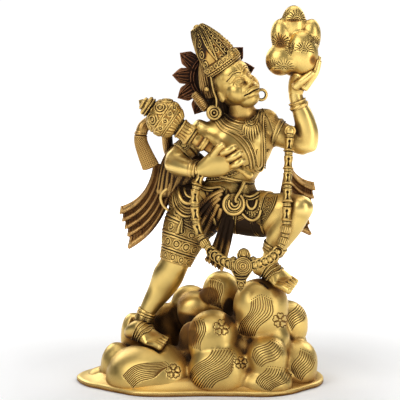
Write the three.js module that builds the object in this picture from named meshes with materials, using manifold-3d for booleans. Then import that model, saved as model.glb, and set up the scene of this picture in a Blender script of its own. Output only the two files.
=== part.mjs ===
// A cast brass hanuman figure, striding with a mountain and a mace, on a plinth of boulders.
// Millimetres, +Z up, the viewer looks along +Y with +X to the right.
// The origin is in the middle of the plinth's flat underside.
import * as THREE from 'three';
import { mergeVertices } from 'three/addons/utils/BufferGeometryUtils.js';
import Module from 'manifold-3d';

const wasm = await Module();
wasm.setup();

// Driving dimensions
const PLINTH_LENGTH = 342;      // along X
const PLINTH_DEPTH = 196;       // along Y
const RIM_THICK = 7;            // the flat wavy plate under the boulders
const RIM_BEVEL = 1.5;
const SEAT_GAP = 0.3;           // air between a sole and its seat on the rock
const CLOTH = 1.8;              // how far cast cloth stands off the limb under it
const HEAD_HEIGHT = 66;         // chin to hairline
const CROWN_HEIGHT = 82;        // brim to tip
const CROWN_LEAN = -11;         // how far the tip leans off the head's own axis
const HALO_RADIUS = 55;         // to the petals' tips
const HALO_PETALS = 11;
const HALO_THICK = 4;
const MACE_LENGTH = 184;
const MACE_BALL = 25;           // radius of the mace head
const BEAD = 6.2;               // radius of the garland's large beads
const BEAD_NECK = 3.6;
const SCARF_THICK = 3;
const FOOT_LENGTH = 68;
const FOOT_WIDTH = 30;

const FRONT = new THREE.Vector3(0, -1, 0);
const UP = new THREE.Vector3(0, 0, 1);
const at = (x, y, z) => new THREE.Vector3(x, y, z);

// Solids

// A closed geometry as a solid, turned the right way round if its faces point inwards
function solid(geometry) {
  const bare = geometry.clone();
  bare.deleteAttribute('normal');
  bare.deleteAttribute('uv');
  const merged = mergeVertices(bare, 1e-4);
  const place = merged.attributes.position;
  const triangles = Uint32Array.from(merged.index.array);
  const [a, b, c] = [at(0, 0, 0), at(0, 0, 0), at(0, 0, 0)];
  let volume = 0;
  for (let i = 0; i < triangles.length; i += 3) {
    a.fromBufferAttribute(place, triangles[i]);
    b.fromBufferAttribute(place, triangles[i + 1]);
    c.fromBufferAttribute(place, triangles[i + 2]);
    volume += a.dot(b.cross(c));
  }
  if (volume < 0) {
    for (let i = 0; i < triangles.length; i += 3) {
      [triangles[i], triangles[i + 1]] = [triangles[i + 1], triangles[i]];
    }
  }
  return new wasm.Manifold(new wasm.Mesh({
    numProp: 3, vertProperties: Float32Array.from(place.array), triVerts: triangles,
  }));
}

const join = (...pieces) => pieces.flat(Infinity).reduce((whole, piece) => whole.add(piece));

// A sphere's vertices moved one by one: turn runs round it, row counts down it from the pole
function warpSphere(around, rows, move) {
  const geometry = new THREE.SphereGeometry(1, around, rows);
  const { position, uv } = geometry.attributes;
  for (let i = 0; i < position.count; i += 1) {
    const row = Math.round((1 - uv.getY(i)) * rows);
    const pole = row === 0 || row === rows;
    const turn = pole ? 0 : Math.round(uv.getX(i) * around) % around / around * 2 * Math.PI;
    const point = move(turn, row);
    position.setXYZ(i, point.x, point.y, point.z);
  }
  return solid(geometry);
}

// A limb through stations [x, y, z, half width across, half width through], with domed ends.
// Rings is a count, or a list of [place from 0 to 1, how far the surface swells there].
function limb(stations, around = 9, rings = stations.length, front = FRONT) {
  const middle = new THREE.CatmullRomCurve3(stations.map(([x, y, z]) => at(x, y, z)));
  const size = new THREE.CatmullRomCurve3(
    stations.map(([, , , across, through = across]) => at(across, through, 0)));
  const places = Array.isArray(rings)
    ? rings : Array.from({ length: rings }, (_, i) => [i / (rings - 1), 0]);
  const DOME = 0.45;
  return warpSphere(around, places.length + 1, (turn, row) => {
    const [t, swell] = places[Math.min(Math.max(row - 1, 0), places.length - 1)];
    const centre = middle.getPoint(t);
    const radius = size.getPoint(t);
    const along = middle.getTangent(t);
    const side = along.clone().cross(front).normalize();
    const depth = side.clone().cross(along).normalize();
    if (row === 0) return centre.addScaledVector(along, -DOME * radius.x);
    if (row === places.length + 1) return centre.addScaledVector(along, DOME * radius.x);
    centre.addScaledVector(side, Math.cos(turn) * (radius.x + swell));
    return centre.addScaledVector(depth, Math.sin(turn) * (radius.y + swell));
  });
}

// A strand of beads evenly spaced along a path of points, thin between the beads.
// Grow multiplies the beads' radius by the place along the strand.
function strand(path, count, bead, neck, around = 5, grow = () => 1) {
  const curve = new THREE.CatmullRomCurve3(path);
  const rings = 2 * count + 1;
  return warpSphere(around, rings + 1, (turn, row) => {
    const t = Math.min(Math.max((row - 1) / (rings - 1), 0), 1);
    const centre = curve.getPointAt(t);
    const along = curve.getTangentAt(t);
    const side = along.clone().cross(Math.abs(along.y) > 0.9 ? UP : FRONT).normalize();
    const depth = side.clone().cross(along).normalize();
    if (row === 0 || row === rings + 1) return centre;
    const radius = (row % 2 === 0 ? bead : neck) * grow(t);
    centre.addScaledVector(side, Math.cos(turn) * radius);
    return centre.addScaledVector(depth, Math.sin(turn) * radius);
  });
}

// An ellipsoid with its half sizes, turned by degrees about X, Y and Z
function blob([x, y, z], [rx, ry, rz], around = 9, rows = 5, [tx, ty, tz] = [0, 0, 0]) {
  const geometry = new THREE.SphereGeometry(1, around, rows).rotateX(Math.PI / 2);
  geometry.scale(rx, ry, rz);
  const turn = new THREE.Euler(...[tx, ty, tz].map(THREE.MathUtils.degToRad));
  geometry.applyMatrix4(new THREE.Matrix4().makeRotationFromEuler(turn));
  return solid(geometry.translate(x, y, z));
}

// A turned form: profile [distance along, radius] from one point towards another
function turned(profile, from, to, around = 10) {
  const geometry = new THREE.LatheGeometry(
    profile.map(([s, r]) => new THREE.Vector2(r, s)), around);
  const along = to.clone().sub(from).normalize();
  geometry.applyQuaternion(new THREE.Quaternion().setFromUnitVectors(at(0, 1, 0), along));
  return solid(geometry.translate(from.x, from.y, from.z));
}

// A round wire ring facing along a direction
function hoop(middle, facing, radius, wire, around = 14, sides = 5) {
  const geometry = new THREE.TorusGeometry(radius, wire, sides, around);
  const turn = new THREE.Quaternion().setFromUnitVectors(UP, facing.clone().normalize());
  geometry.applyQuaternion(turn);
  return solid(geometry.translate(middle.x, middle.y, middle.z));
}

// A sheet: place(u, v) gives its middle surface, and its thickness lies along a direction
function sheet(columns, rows, thick, place, through = FRONT) {
  const geometry = new THREE.BoxGeometry(1, 1, 1, columns, rows, 1);
  const { position } = geometry.attributes;
  for (let i = 0; i < position.count; i += 1) {
    const point = place(position.getX(i) + 0.5, position.getY(i) + 0.5);
    point.addScaledVector(through, position.getZ(i) * thick);
    position.setXYZ(i, point.x, point.y, point.z);
  }
  return solid(geometry);
}

// A plate cut from an outline in X and Z, its front face at the given Y
function plate(outline, thick, y) {
  const shape = new THREE.Shape(outline.map(([x, z]) => new THREE.Vector2(x, z)));
  const geometry = new THREE.ExtrudeGeometry(shape, { depth: thick, bevelEnabled: false });
  return solid(geometry.rotateX(Math.PI / 2).translate(0, y + thick, 0));
}

const mix = (a, b, t) => a.clone().lerp(b, t);

// Folds side by side across a sheet, as a zigzag between -1 and 1
const zigzag = (u, pleats) => 2 * Math.abs(2 * (u * pleats % 1) - 1) - 1;

const points = (list) => list.map(([x, y, z]) => at(x, y, z));

// Body: every station is [x, y, z, half width across, half width through]
const TORSO = [
  [33, 3, 222, 30, 25], [35, 2, 242, 45, 31], [38, 1, 262, 41, 29], [41, -1, 279, 31, 23],
  [47, -3, 300, 36, 27], [53, -3, 326, 45, 32], [56, -2, 348, 45, 27], [58, 0, 365, 24, 17],
  [57, -1, 376, 18, 16], [54, -4, 392, 17, 16],
];
const LEG_BACK = [
  [12, 2, 246, 34, 29], [-10, 1, 226, 34, 29], [-21, -2, 206, 30, 27], [-28, -5, 186, 24, 24.5],
  [-34, -7, 168, 20, 21.5], [-44, -4, 148, 21.5, 21], [-54, 0, 128, 18, 18],
  [-65, 0, 108, 13.5, 14], [-72, 0, 92, 11.5, 12], [-75, -1, 78, 11.5, 12],
];
const THIGH_FRONT = [
  [46, -2, 240, 30, 27], [72, -10, 236, 30, 27], [95, -24, 237, 29, 26],
  [116, -36, 244, 24.5, 23], [132, -46, 248, 19.5, 19],
];
const SHIN_FRONT = [
  [133, -46, 248, 19, 19], [121, -46, 229, 20.5, 19], [108, -42, 208, 18.5, 17],
  [99, -37, 188, 13.5, 13], [94.5, -33, 173, 11, 11.5], [94, -32, 164, 11, 11.5],
];
const ARM_RAISED = [
  [84, 0, 349, 20, 20], [98, -3, 348, 19, 18], [116, -7, 341, 17, 16], [134, -10, 332, 15, 15],
  [144, -12, 329, 14, 14],
];
const FOREARM_RAISED = [
  [145, -12, 326, 14.5, 14], [146, -13, 346, 15, 14], [139, -14, 371, 13.5, 13],
  [130, -14, 393, 10, 10.5], [129, -14, 404, 10, 10.5],
];
const ARM_LOWERED = [
  [8, -1, 350, 19, 19], [-4, -3, 338, 17.5, 17], [-22, -7, 321, 15, 15], [-37, -12, 307, 14, 14],
];
const FOREARM_LOWERED = [
  [-38, -12, 306, 14, 14], [-26, -26, 303, 14.5, 14], [-12, -40, 301, 12.5, 12],
  [2, -51, 300, 10, 10],
];

const lift = (stations, by) => stations.map(([x, y, z, a, b = a]) => [x, y, z, a + by, b + by]);

// The rings of a worn band: it starts and ends on the limb and swells between
const worn = (from, to, swell) => [[from, 0], [(from + to) / 2, swell], [to, 0]];

function body() {
  return join(
    limb(TORSO, 9, 10),
    blob([36, -19, 338], [19, 14, 17], 6, 3),
    blob([74, -19, 340], [19, 14, 17], 6, 3),
    limb(LEG_BACK, 7, [[0, 0], [0.25, 0], [0.42, 0], [0.56, 0], [0.7, 0], ...worn(0.84, 0.92, 3), [1, 0]]),
    limb(THIGH_FRONT, 8, 4),
    limb(SHIN_FRONT, 7, [[0, 0], [0.2, 0], [0.45, 0], ...worn(0.62, 0.84, 2.6), [1, 0]]),
    limb(ARM_RAISED, 6, [[0, 0], ...worn(0.22, 0.4, 2.4), [1, 0]]),
    limb(FOREARM_RAISED, 6, [[0, 0], [0.3, 0], ...worn(0.66, 0.86, 2.4), [1, 0]]),
    limb(ARM_LOWERED, 6, [[0, 0], ...worn(0.4, 0.62, 2.4), [1, 0]]),
    limb(FOREARM_LOWERED, 6, [[0, 0], [0.35, 0], ...worn(0.66, 0.92, 2.4), [1, 0]], UP),
  );
}

// Feet: built on a flat sole in their own axes, heel at the origin and toes along +Y
const SOLE_BACK = { heel: at(-97, 4, 59), toes: at(-49, -30, 56), up: at(-0.123, -0.258, 0.958) };
const SOLE_FRONT = { heel: at(79.5, -12, 152), toes: at(121, -52, 140.4), up: at(-0.07, -0.35, 0.93) };

function soleMatrix({ heel, toes, up }) {
  const forward = toes.clone().sub(heel).normalize();
  const across = forward.clone().cross(up).normalize().negate();
  const normal = across.clone().cross(forward).normalize();
  if (normal.z < 0) normal.negate();
  return new THREE.Matrix4().makeBasis(across, forward, normal).setPosition(heel);
}

function placed(piece, matrix) {
  return piece.transform(matrix.elements);
}

function foot(sole) {
  const half = FOOT_WIDTH / 2;
  const sides = limb([
    [0, 0, 8, 8.5, 8], [0, 9, 12, 11, 12], [0, 22, 15, 11.5, 15], [0, 34, 11, 13, 11],
    [0.5, 54, 5.5, half, 5.5],
  ], 7, 4, UP);
  const toe = (x, i) => {
    const end = FOOT_LENGTH - 3 - 2.7 * i;
    const r = i === 0 ? 4.8 : 3.5 - 0.2 * i;
    return limb([[x, 50, r, r], [x, end, r, r]], 4, 2, UP);
  };
  const whole = join(sides, [-10, -2.8, 3, 8.2, 12.6].map(toe));
  const under = solid(new THREE.BoxGeometry(90, 160, 40).translate(0, 30, -20));
  return placed(whole.subtract(under), soleMatrix(sole));
}

// The air kept free over a seat: as wide as the foot and open above
function seatCut(sole) {
  const height = 46;
  const block = new THREE.BoxGeometry(FOOT_WIDTH + 9, FOOT_LENGTH + 12, height);
  block.translate(0, FOOT_LENGTH / 2 - 2, height / 2 - SEAT_GAP);
  return placed(solid(block), soleMatrix(sole));
}

// Hands: the raised one is open under the mountain, the lowered one is closed on the shaft
function raisedHand() {
  const palm = limb([[129, -14, 400, 10, 10], [131, -14, 412, 12, 13], [136, -14, 424, 14, 17]], 6, 3);
  const fingers = sheet(8, 1, 7, (u, v) => {
    const reach = 444 + 8 * Math.sin(Math.PI * u);
    const knuckle = at(144, -30 + 32 * u, 416);
    const tip = at(157, -30 + 32 * u, reach);
    return mix(knuckle, tip, v).add(at(2 + zigzag(u, 4) * 1.6, 0, 0));
  }, at(0.9, 0, -0.44));
  const thumb = limb([[128, -25, 410, 5.5], [139, -30, 420, 5.5], [151, -31, 430, 4.2]], 4, 3);
  return join(palm, fingers, thumb);
}

const MACE_TIP = at(-82, -48, 394);
const MACE_END = at(66, -60, 295);
const maceAt = (s) => mix(MACE_TIP, MACE_END, s / MACE_LENGTH);

function gripHand() {
  const palm = limb([
    [1, -51, 300, 10, 9], [12, -53, 303, 13, 9], [24, -53, 309, 15, 10], [32, -52, 316, 12, 9],
  ], 6, 3, FRONT);
  const fingers = strand([121, 140, 158].map(maceAt), 4, 11.5, 9, 6);
  const thumb = limb([[14, -55, 306, 6], [13, -58, 318, 5.6], [18, -61, 328, 4.6]], 4, 3);
  return join(palm, fingers, thumb);
}

function mace() {
  const ball = [0, 1, 2, 3, 4].map((i) => {
    const angle = (0.55 + i) / 5.3 * Math.PI;
    return [43 - Math.cos(angle) * MACE_BALL, Math.sin(angle) * MACE_BALL];
  });
  const profile = [
    [0, 0], [5, 4], [6, 8], [10, 8], [11, 12], [19, 13], ...ball.slice(1), [65, 14.5], [69, 14],
    [83, 10], [85, 6.5], [104, 6.4], [107, 8.6], [110, 5.3], [170, 5.2], [176, 7.2],
    [MACE_LENGTH, 0],
  ];
  return turned(profile, MACE_TIP, MACE_END, 8);
}

// Head: built upright with the face along -Y, then tilted back and turned to the viewer's right
const HEAD_CENTRE = at(50, -8, 408);
const HEAD_UP = at(-0.47, 0.1, 0.87).normalize();
const HEAD_FACE = at(0.51, -0.78, 0.36).normalize();

function headMatrix() {
  const back = HEAD_FACE.clone().addScaledVector(HEAD_UP, -HEAD_FACE.dot(HEAD_UP)).normalize().negate();
  const side = back.clone().cross(HEAD_UP).normalize();
  return new THREE.Matrix4().makeBasis(side, back, HEAD_UP).setPosition(HEAD_CENTRE);
}

// A calm monkey's face of the usual kind: brow ridge, closed eyes' mounds, broad muzzle, long lip
function face() {
  const half = HEAD_HEIGHT / 2;
  const eye = (side) => blob([side * 10.5, -20, 3], [5.8, 5, 4], 4, 3);
  const brow = (side) => limb([[0, -25, 7, 2.8], [side * 11, -24, 11, 3], [side * 20, -15, 7, 2]], 3, 3);
  const ear = (side) => blob([side * 25, 1, 1], [4, 7, 9.5], 4, 3, [0, 0, side * 18]);
  return join(
    blob([0, 0, 2], [25, 25, half], 9, 6),
    blob([0, -13, -9], [19, 17, 12], 7, 4),
    blob([0, -12, -21], [16, 15, 12], 7, 4),
    blob([0, -28, -2], [4.6, 5, 6], 4, 3),
    [-1, 1].map((side) => [eye(side), brow(side), ear(side)]),
  );
}

function crown() {
  const base = 14;
  const tall = CROWN_HEIGHT;
  const profile = [
    [0, 0], [0, 27], [5, 29], [10, 27.5], [tall * 0.35, 24.5], [tall * 0.6, 21],
    [tall * 0.82, 14.5], [tall * 0.95, 8], [tall, 0],
  ];
  const leaf = (turn, width, height) => {
    const angle = THREE.MathUtils.degToRad(turn);
    const [x, y] = [Math.sin(angle), -Math.cos(angle)];
    return limb([
      [x * 27, y * 27 + 2, base + 4, width, 3], [x * 27, y * 27 + 2, base + 4 + height * 0.5, width, 3],
      [x * 23, y * 23 + 2, base + 4 + height, 1.5, 1.5],
    ], 4, 3, at(x, y, 0));
  };
  return join(
    turned(profile, at(0, 2, base), at(CROWN_LEAN, 2, base + tall), 10),
    leaf(-62, 9, 26), leaf(62, 9, 26), leaf(180, 10, 30),
    blob([0, -26, base + 15], [6.5, 4, 6.5], 5, 3),
  );
}

function head() {
  const neckRoll = blob([0, 12, -10], [17, 15, 18], 6, 3);
  return placed(join(face(), crown(), neckRoll), headMatrix());
}

// Halo: one plate whose edge is eleven pointed petals, and a raised disc in front of it
const HALO_CENTRE = at(22, 24, 419);

function halo() {
  const petal = [[0, 1], [0.36, 0.78], [0.5, 0.66], [0.64, 0.78]];
  const step = 2 * Math.PI / HALO_PETALS;
  const firstPetal = THREE.MathUtils.degToRad(177);
  const outline = [];
  for (let i = 0; i < HALO_PETALS; i += 1) {
    outline.push(...petal.map(([turn, reach]) => {
      const angle = firstPetal + (i + turn) * step;
      const r = reach * HALO_RADIUS;
      return [HALO_CENTRE.x + Math.cos(angle) * r, HALO_CENTRE.z + Math.sin(angle) * r];
    }));
  }
  const inner = HALO_RADIUS * 0.6;
  const rim = [[0, 0], [0, inner], [3, inner - 2], [1.5, 0]];
  const stem = limb([[34, 0, 416, 15], [26, 25, 418, 14]], 6, 2, UP);
  return join(
    plate(outline, HALO_THICK, HALO_CENTRE.y),
    turned(rim, HALO_CENTRE.clone().add(at(0, 1, 0)), HALO_CENTRE.clone().add(FRONT), 11),
    stem,
  );
}

// Earrings hang from the lobes, the near one under a strap and a lock of hair beside the cheek
function earrings() {
  return join(
    hoop(at(19, -12, 374), at(0.2, -1, 0.1), 8.6, 3.2, 8, 4),
    hoop(at(80, -4, 398), at(0.5, -1, 0.1), 6.4, 2.2, 7, 3),
    limb([[16, -12, 430, 2.4], [17, -15, 404, 2.6], [20, -13, 378, 2.6]], 4, 4),
    blob([15, -6, 406], [7, 6, 6.5], 5, 3),
    limb([[24, 8, 404, 12, 9], [25, 8, 388, 14, 9], [26, 6, 368, 14, 9]], 6, 3),
  );
}

// Mountain: a heap of rounded peaks carried on the palm
function mountain() {
  const y = -12;
  return join(
    blob([126, y, 496], [15, 15, 24], 7, 4),
    blob([109, y, 479], [12.5, 13, 22], 6, 5, [0, -6, 0]),
    blob([148, y, 479], [13, 13, 22], 6, 5, [0, 4, 0]),
    blob([135, y - 8, 457], [20, 18, 28], 8, 6),
    blob([107, y - 2, 446], [19, 17, 21], 7, 4, [0, 14, 0]),
    blob([143, y + 4, 444], [13, 17, 18], 5, 4),
    blob([126, y + 12, 460], [25, 14, 36], 6, 4),
  );
}

// Tail: from the rump up behind the lowered arm, over, and down in a tuft below a ring
function tail() {
  return limb([
    [26, 22, 240, 8, 8], [8, 34, 262, 7.5, 7.5], [-22, 32, 290, 7, 7], [-42, 24, 316, 7, 7],
    [-47, 8, 348, 7, 7], [-64, -7, 363, 7, 7], [-78, -13, 354, 6.5, 7], [-81, -14, 340, 7.5, 7],
    [-76, -14, 321, 9, 8], [-69, -14, 302, 9, 6],
  ], 5, [0, 0.12, 0.25, 0.38, 0.48, 0.56].map((t) => [t, 0]).concat(
    worn(0.62, 0.7, 3), [[0.8, 0], [0.9, 0], [1, 0]]));
}

function scarf(rootTop, rootLow, hemTop, hemLow, pleats, belly) {
  return sheet(2 * pleats, 2, SCARF_THICK, (u, v) => {
    const root = mix(rootTop, rootLow, u);
    const hem = mix(hemTop, hemLow, u);
    const fold = zigzag(u, pleats);
    const point = mix(root, hem, v).addScaledVector(belly, 4 * v * (1 - v) * (1 - u));
    point.y -= fold * (1.5 + 4 * v);
    const out = hem.clone().sub(root).normalize();
    return point.addScaledVector(out, v * v * fold * 2.5);
  });
}

function scarves() {
  const left = scarf(
    at(-60, 8, 299), at(-30, 12, 226), at(-108, 4, 238), at(-98, 0, 185), 4, at(12, 0, -12));
  const leftFall = limb([[-6, 16, 340, 10, 5], [-42, 10, 306, 14, 6], [-46, 9, 262, 18, 6]], 4, 3);
  const behind = blob([-20, 8, 280], [28, 10, 28], 6, 3);
  const right = scarf(
    at(122, -2, 332), at(104, -12, 236), at(158, 2, 275), at(146, 2, 204), 4, at(-12, 0, -10));
  return join(left, leftFall, behind, right);
}

// Garland: hangs from the raised arm over the knee to a pendant and up to the other wrist
const GARLAND_RIGHT = points([
  [120, -10, 347], [121, -26, 350], [119.6, -36, 330], [118, -46, 300], [116.8, -58, 280],
  [116.4, -66, 262], [115.2, -70, 243], [114.5, -71, 224], [111, -71, 207], [104, -73, 196],
  [92, -75, 185], [76, -76, 179], [70, -76, 177],
]);
const GARLAND_LEFT = points([
  [48, -76, 177], [40, -75, 179], [28, -71, 184], [14, -62, 194], [4, -54, 206],
  [-3.4, -49, 223], [-6.3, -49, 243], [-6.7, -52, 260], [-5, -56, 277], [2, -53, 298],
]);

function garland() {
  const y = -78;
  const petal = (x, z, turn) => blob([x, y + 3, z], [9, 5, 7], 5, 3, [0, turn, 0]);
  const medal = [[0, 0], [0, 12], [5, 12], [7, 0]];
  return join(
    strand(GARLAND_RIGHT, 13, BEAD, BEAD_NECK, 4, (t) => 1 + 0.6 * Math.max(0, t - 0.7) / 0.3),
    strand(GARLAND_LEFT, 8, BEAD, BEAD_NECK, 4, (t) => 1 + 0.6 * Math.max(0, 0.35 - t) / 0.35),
    turned(medal, at(58, y + 6, 174), at(58, y, 174), 9),
    petal(46, 177, -20), petal(71, 178, 20), petal(59, 191, 90),
    plate([[44, 168], [72, 168], [68, 160], [56, 148], [47, 160]], 5, y),
  );
}

// Dress: cloth sleeves over both thighs with raised hem bands, hip folds, swags and a pleated end
function dress() {
  const hems = [[0, 0], [0.3, 0], ...worn(0.55, 0.68, 2), [0.92, 0], [1, 1.8]];
  const sleeveBack = limb(lift(LEG_BACK, CLOTH).slice(0, 5), 9, hems);
  const sleeveFront = limb(lift(THIGH_FRONT, CLOTH).slice(0, 3), 9, [[0, 0], [0.5, 0], [0.86, 0], [1, 2]]);
  const hipCloth = blob([-14, 2, 248], [30, 24, 26], 7, 4);
  const hipFold = limb([[6, -13, 266, 4], [24, -25, 262, 5], [46, -27, 264, 5], [70, -15, 272, 4]], 4, 4, UP);
  const swag = (from, low, to, wire) => limb([
    [from.x, from.y, from.z, wire], [mix(from, low, 0.6).x, low.y, mix(from, low, 0.8).z, wire],
    [low.x, low.y, low.z - 1, wire], [mix(to, low, 0.6).x, low.y, mix(to, low, 0.8).z, wire],
    [to.x, to.y, to.z, wire],
  ], 4, 4);
  const pleated = sheet(6, 2, 3.5, (u, v) => {
    const high = mix(at(27, -26, 238), at(45, -28, 236), u);
    const low = mix(at(9, -34, 176), at(33, -34, 160), u);
    const point = mix(high, low, v);
    point.x += 16 * v * (1 - v);
    point.y -= zigzag(u, 3) * (1.5 + 1.5 * v);
    return point;
  });
  return join(
    sleeveBack, sleeveFront, hipCloth, hipFold,
    swag(at(-36, -10, 262), at(-18, -25, 237), at(-2, -28, 250), 4),
    swag(at(57, -28, 248), at(69, -36, 231), at(82, -40, 246), 4),
    hoop(at(49, -29, 251), at(0, -1, 0.1), 12, 4, 8, 4),
    limb([[56, -22, 279, 5], [53, -27, 268, 4.4], [48, -30, 255, 4]], 4, 2),
    pleated,
  );
}

// Beads and plates worn on the body
function jewels() {
  const necklace = limb([
    [18, -8, 362, 3.6], [26, -21, 352, 3.6], [42, -31, 340, 3.6], [58, -32, 337, 3.6],
    [70, -29, 333, 3.6],
  ], 3, 4);
  const sash = limb([
    [22, -12, 366, 3.4], [40, -31, 348, 3.4], [58, -33, 328, 3.4], [70, -28, 306, 3.4],
    [77, -21, 296, 3.4], [85, -24, 312, 3.4], [86, -25, 334, 3.4], [82, -16, 360, 3.4],
  ], 4, 8);
  const collar = turned([[0, 0], [0, 27], [3, 28], [7, 22], [7, 0]], at(57, -3, 357), at(57.5, -7, 371), 9);
  const belt = limb([[41.5, -1, 283, 33.5, 26], [42, -1, 287, 35, 27.5], [43, -1, 291, 34, 26.5]], 9, 3);
  return join(
    necklace, sash, collar, belt,
    blob([66, -28, 350], [14, 6, 10], 5, 3, [0, 10, 0]),
    blob([-22, -21, 330], [7, 4, 9], 5, 3),
    blob([84, -3, 366], [15, 13, 12], 6, 3),
  );
}

// The two pieces
function castFigure() {
  return join(
    body(), foot(SOLE_BACK), foot(SOLE_FRONT), raisedHand(), gripHand(), mace(), head(), halo(),
    earrings(), mountain(), tail(), scarves(), garland(), dress(), jewels(),
  );
}

// Boulders: [centre, half sizes], from the front row to the back, the last ones out of sight
const BOULDERS = [
  [[83, -30, 108], [38, 36, 43]], [[17, -45, 72], [35, 35, 36]], [[26, -60, 26], [41, 35, 42]],
  [[-60, -42, 10], [47, 50, 48]], [[90, -60, 48], [29, 30, 27]], [[88, -64, 10], [37, 31, 26]],
  [[120, 8, 82], [31, 31, 30]], [[129, -20, 28], [33, 36, 35]], [[-8, 14, 98], [26, 24, 25]],
  [[-14, 40, 96], [28, 22, 31]], [[30, 22, 116], [28, 26, 35]], [[-93, 34, 50], [20, 22, 39]],
  [[-114, -4, 18], [23, 30, 37]], [[-137, 4, 4], [25, 30, 29]], [[-48, 34, 66], [20, 20, 38]],
  [[66, 34, 60], [58, 42, 60]], [[116, 42, 30], [38, 40, 46]], [[-30, 54, 22], [70, 36, 52]],
];
const SEEN_BOULDERS = 9;
const RIM = [
  [-171, 0], [-157, -36], [-137, -54], [-111, -76], [-84, -94], [-50, -98], [0, -95], [50, -96],
  [92, -98], [122, -84], [144, -60], [163, -38], [171, -4], [164, 34], [138, 66], [92, 90],
  [36, 98], [-26, 96], [-84, 90], [-130, 66], [-161, 34],
];

function rimPlate() {
  const corners = RIM.map(([x, y]) => at(x, y, 0));
  const edge = new THREE.CatmullRomCurve3(corners, true).getPoints(22).slice(0, -1);
  const box = new THREE.Box3().setFromPoints(edge);
  const [size, middle] = [box.getSize(at(0, 0, 0)), box.getCenter(at(0, 0, 0))];
  const shape = new THREE.Shape(edge.map(({ x, y }) => new THREE.Vector2(
    (x - middle.x) / size.x * PLINTH_LENGTH, (y - middle.y) / size.y * PLINTH_DEPTH)));
  return solid(new THREE.ExtrudeGeometry(shape, {
    depth: RIM_THICK - 2 * RIM_BEVEL, bevelThickness: RIM_BEVEL, bevelSize: RIM_BEVEL,
    bevelOffset: -RIM_BEVEL, bevelSegments: 1,
  }).translate(0, 0, RIM_BEVEL));
}

function rockPlinth() {
  const under = solid(new THREE.BoxGeometry(600, 600, 200).translate(0, 0, -100));
  const heap = join(rimPlate(), BOULDERS.map(([centre, half], i) => (
    i < SEEN_BOULDERS ? blob(centre, half, 8, 5) : blob(centre, half, 6, 4))));
  return heap.subtract(under).subtract(seatCut(SOLE_BACK)).subtract(seatCut(SOLE_FRONT));
}

// Meshes
function mesh(name, piece, colour, roughness) {
  const { vertProperties, triVerts } = piece.getMesh();
  const geometry = new THREE.BufferGeometry();
  geometry.setAttribute('position', new THREE.BufferAttribute(Float32Array.from(vertProperties), 3));
  geometry.setIndex(new THREE.BufferAttribute(Uint32Array.from(triVerts), 1));
  geometry.computeVertexNormals();
  const brass = new THREE.MeshStandardMaterial({ color: colour, roughness, metalness: 1 });
  const part = new THREE.Mesh(geometry, brass);
  part.name = name;
  return part;
}

const group = new THREE.Group();
group.add(mesh('figure', castFigure(), 0xc9a24a, 0.3));
group.add(mesh('rock_plinth', rockPlinth(), 0xcfab58, 0.32));

export default group;
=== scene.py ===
"""A cast brass hanuman figure, striding with a mountain and a mace, on a plinth of boulders.

Shapes are worked out in millimetres and made metres when a piece is finished.
"""
import math

import bmesh
import bpy
import numpy as np
from mathutils import Matrix, Vector
from mathutils.bvhtree import BVHTree


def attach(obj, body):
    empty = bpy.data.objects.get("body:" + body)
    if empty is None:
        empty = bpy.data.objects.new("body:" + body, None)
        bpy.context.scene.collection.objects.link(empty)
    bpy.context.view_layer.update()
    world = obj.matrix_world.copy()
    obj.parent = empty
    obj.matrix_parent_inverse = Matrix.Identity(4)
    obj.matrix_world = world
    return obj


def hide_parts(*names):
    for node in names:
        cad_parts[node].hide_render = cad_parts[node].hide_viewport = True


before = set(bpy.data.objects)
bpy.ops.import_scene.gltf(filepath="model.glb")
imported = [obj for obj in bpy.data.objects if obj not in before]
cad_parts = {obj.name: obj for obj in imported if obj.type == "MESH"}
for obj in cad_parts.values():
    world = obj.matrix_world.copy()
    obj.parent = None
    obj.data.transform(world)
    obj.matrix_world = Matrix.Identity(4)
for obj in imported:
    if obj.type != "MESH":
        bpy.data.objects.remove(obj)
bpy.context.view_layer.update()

MM = 0.001
FRONT = np.array((0.0, -1.0, 0.0))
UP = np.array((0.0, 0.0, 1.0))
TURN = 2 * math.pi
CURVE_STEPS = 24


# Numbers and paths

def unit(vectors):
    """Vectors made one long."""
    return vectors / np.maximum(np.linalg.norm(vectors, axis=-1, keepdims=True), 1e-9)


def mix(a, b, t):
    """What lies between a and b, at share t of the way."""
    return np.asarray(a, float) * (1 - t) + np.asarray(b, float) * t


def smooth_path(points, count, closed=False):
    """Evenly spaced points on a smooth curve. Columns after the third, such as radii, go along."""
    p = np.array(points, float)
    p = np.vstack([p[-1:], p, p[:2]]) if closed else np.vstack([2 * p[0] - p[1], p, 2 * p[-1] - p[-2]])
    t = np.linspace(0, 1, CURVE_STEPS, endpoint=False)[:, None]
    fine = [
        0.5 * (2 * b + (c - a) * t + (2 * a - 5 * b + 4 * c - d) * t**2 + (3 * b - a - 3 * c + d) * t**3)
        for a, b, c, d in zip(p, p[1:], p[2:], p[3:])
    ]
    fine = np.vstack(fine + [p[-2:-1]])
    run = np.concatenate([[0], np.cumsum(np.linalg.norm(np.diff(fine[:, :3], axis=0), axis=1))])
    even = np.linspace(0, run[-1], count)
    return np.stack([np.interp(even, run, column) for column in fine.T], axis=1)


def smooth_profile(profile, count):
    """The profile's points joined by short straight steps, evenly spaced."""
    p = np.array(profile, float)
    run = np.concatenate([[0], np.cumsum(np.hypot(*np.diff(p, axis=0).T))])
    even = np.linspace(0, run[-1], count)
    return np.stack([np.interp(even, run, column) for column in p.T], axis=1)


def length_of(line):
    """How long a path is."""
    return np.linalg.norm(np.diff(line[:, :3], axis=0), axis=1).sum()


def frames(line, front):
    """Unit vectors along a path, to its side, and towards its front."""
    along = unit(np.gradient(line[:, :3], axis=0))
    side = unit(np.cross(along, front))
    return along, side, np.cross(side, along)


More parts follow.
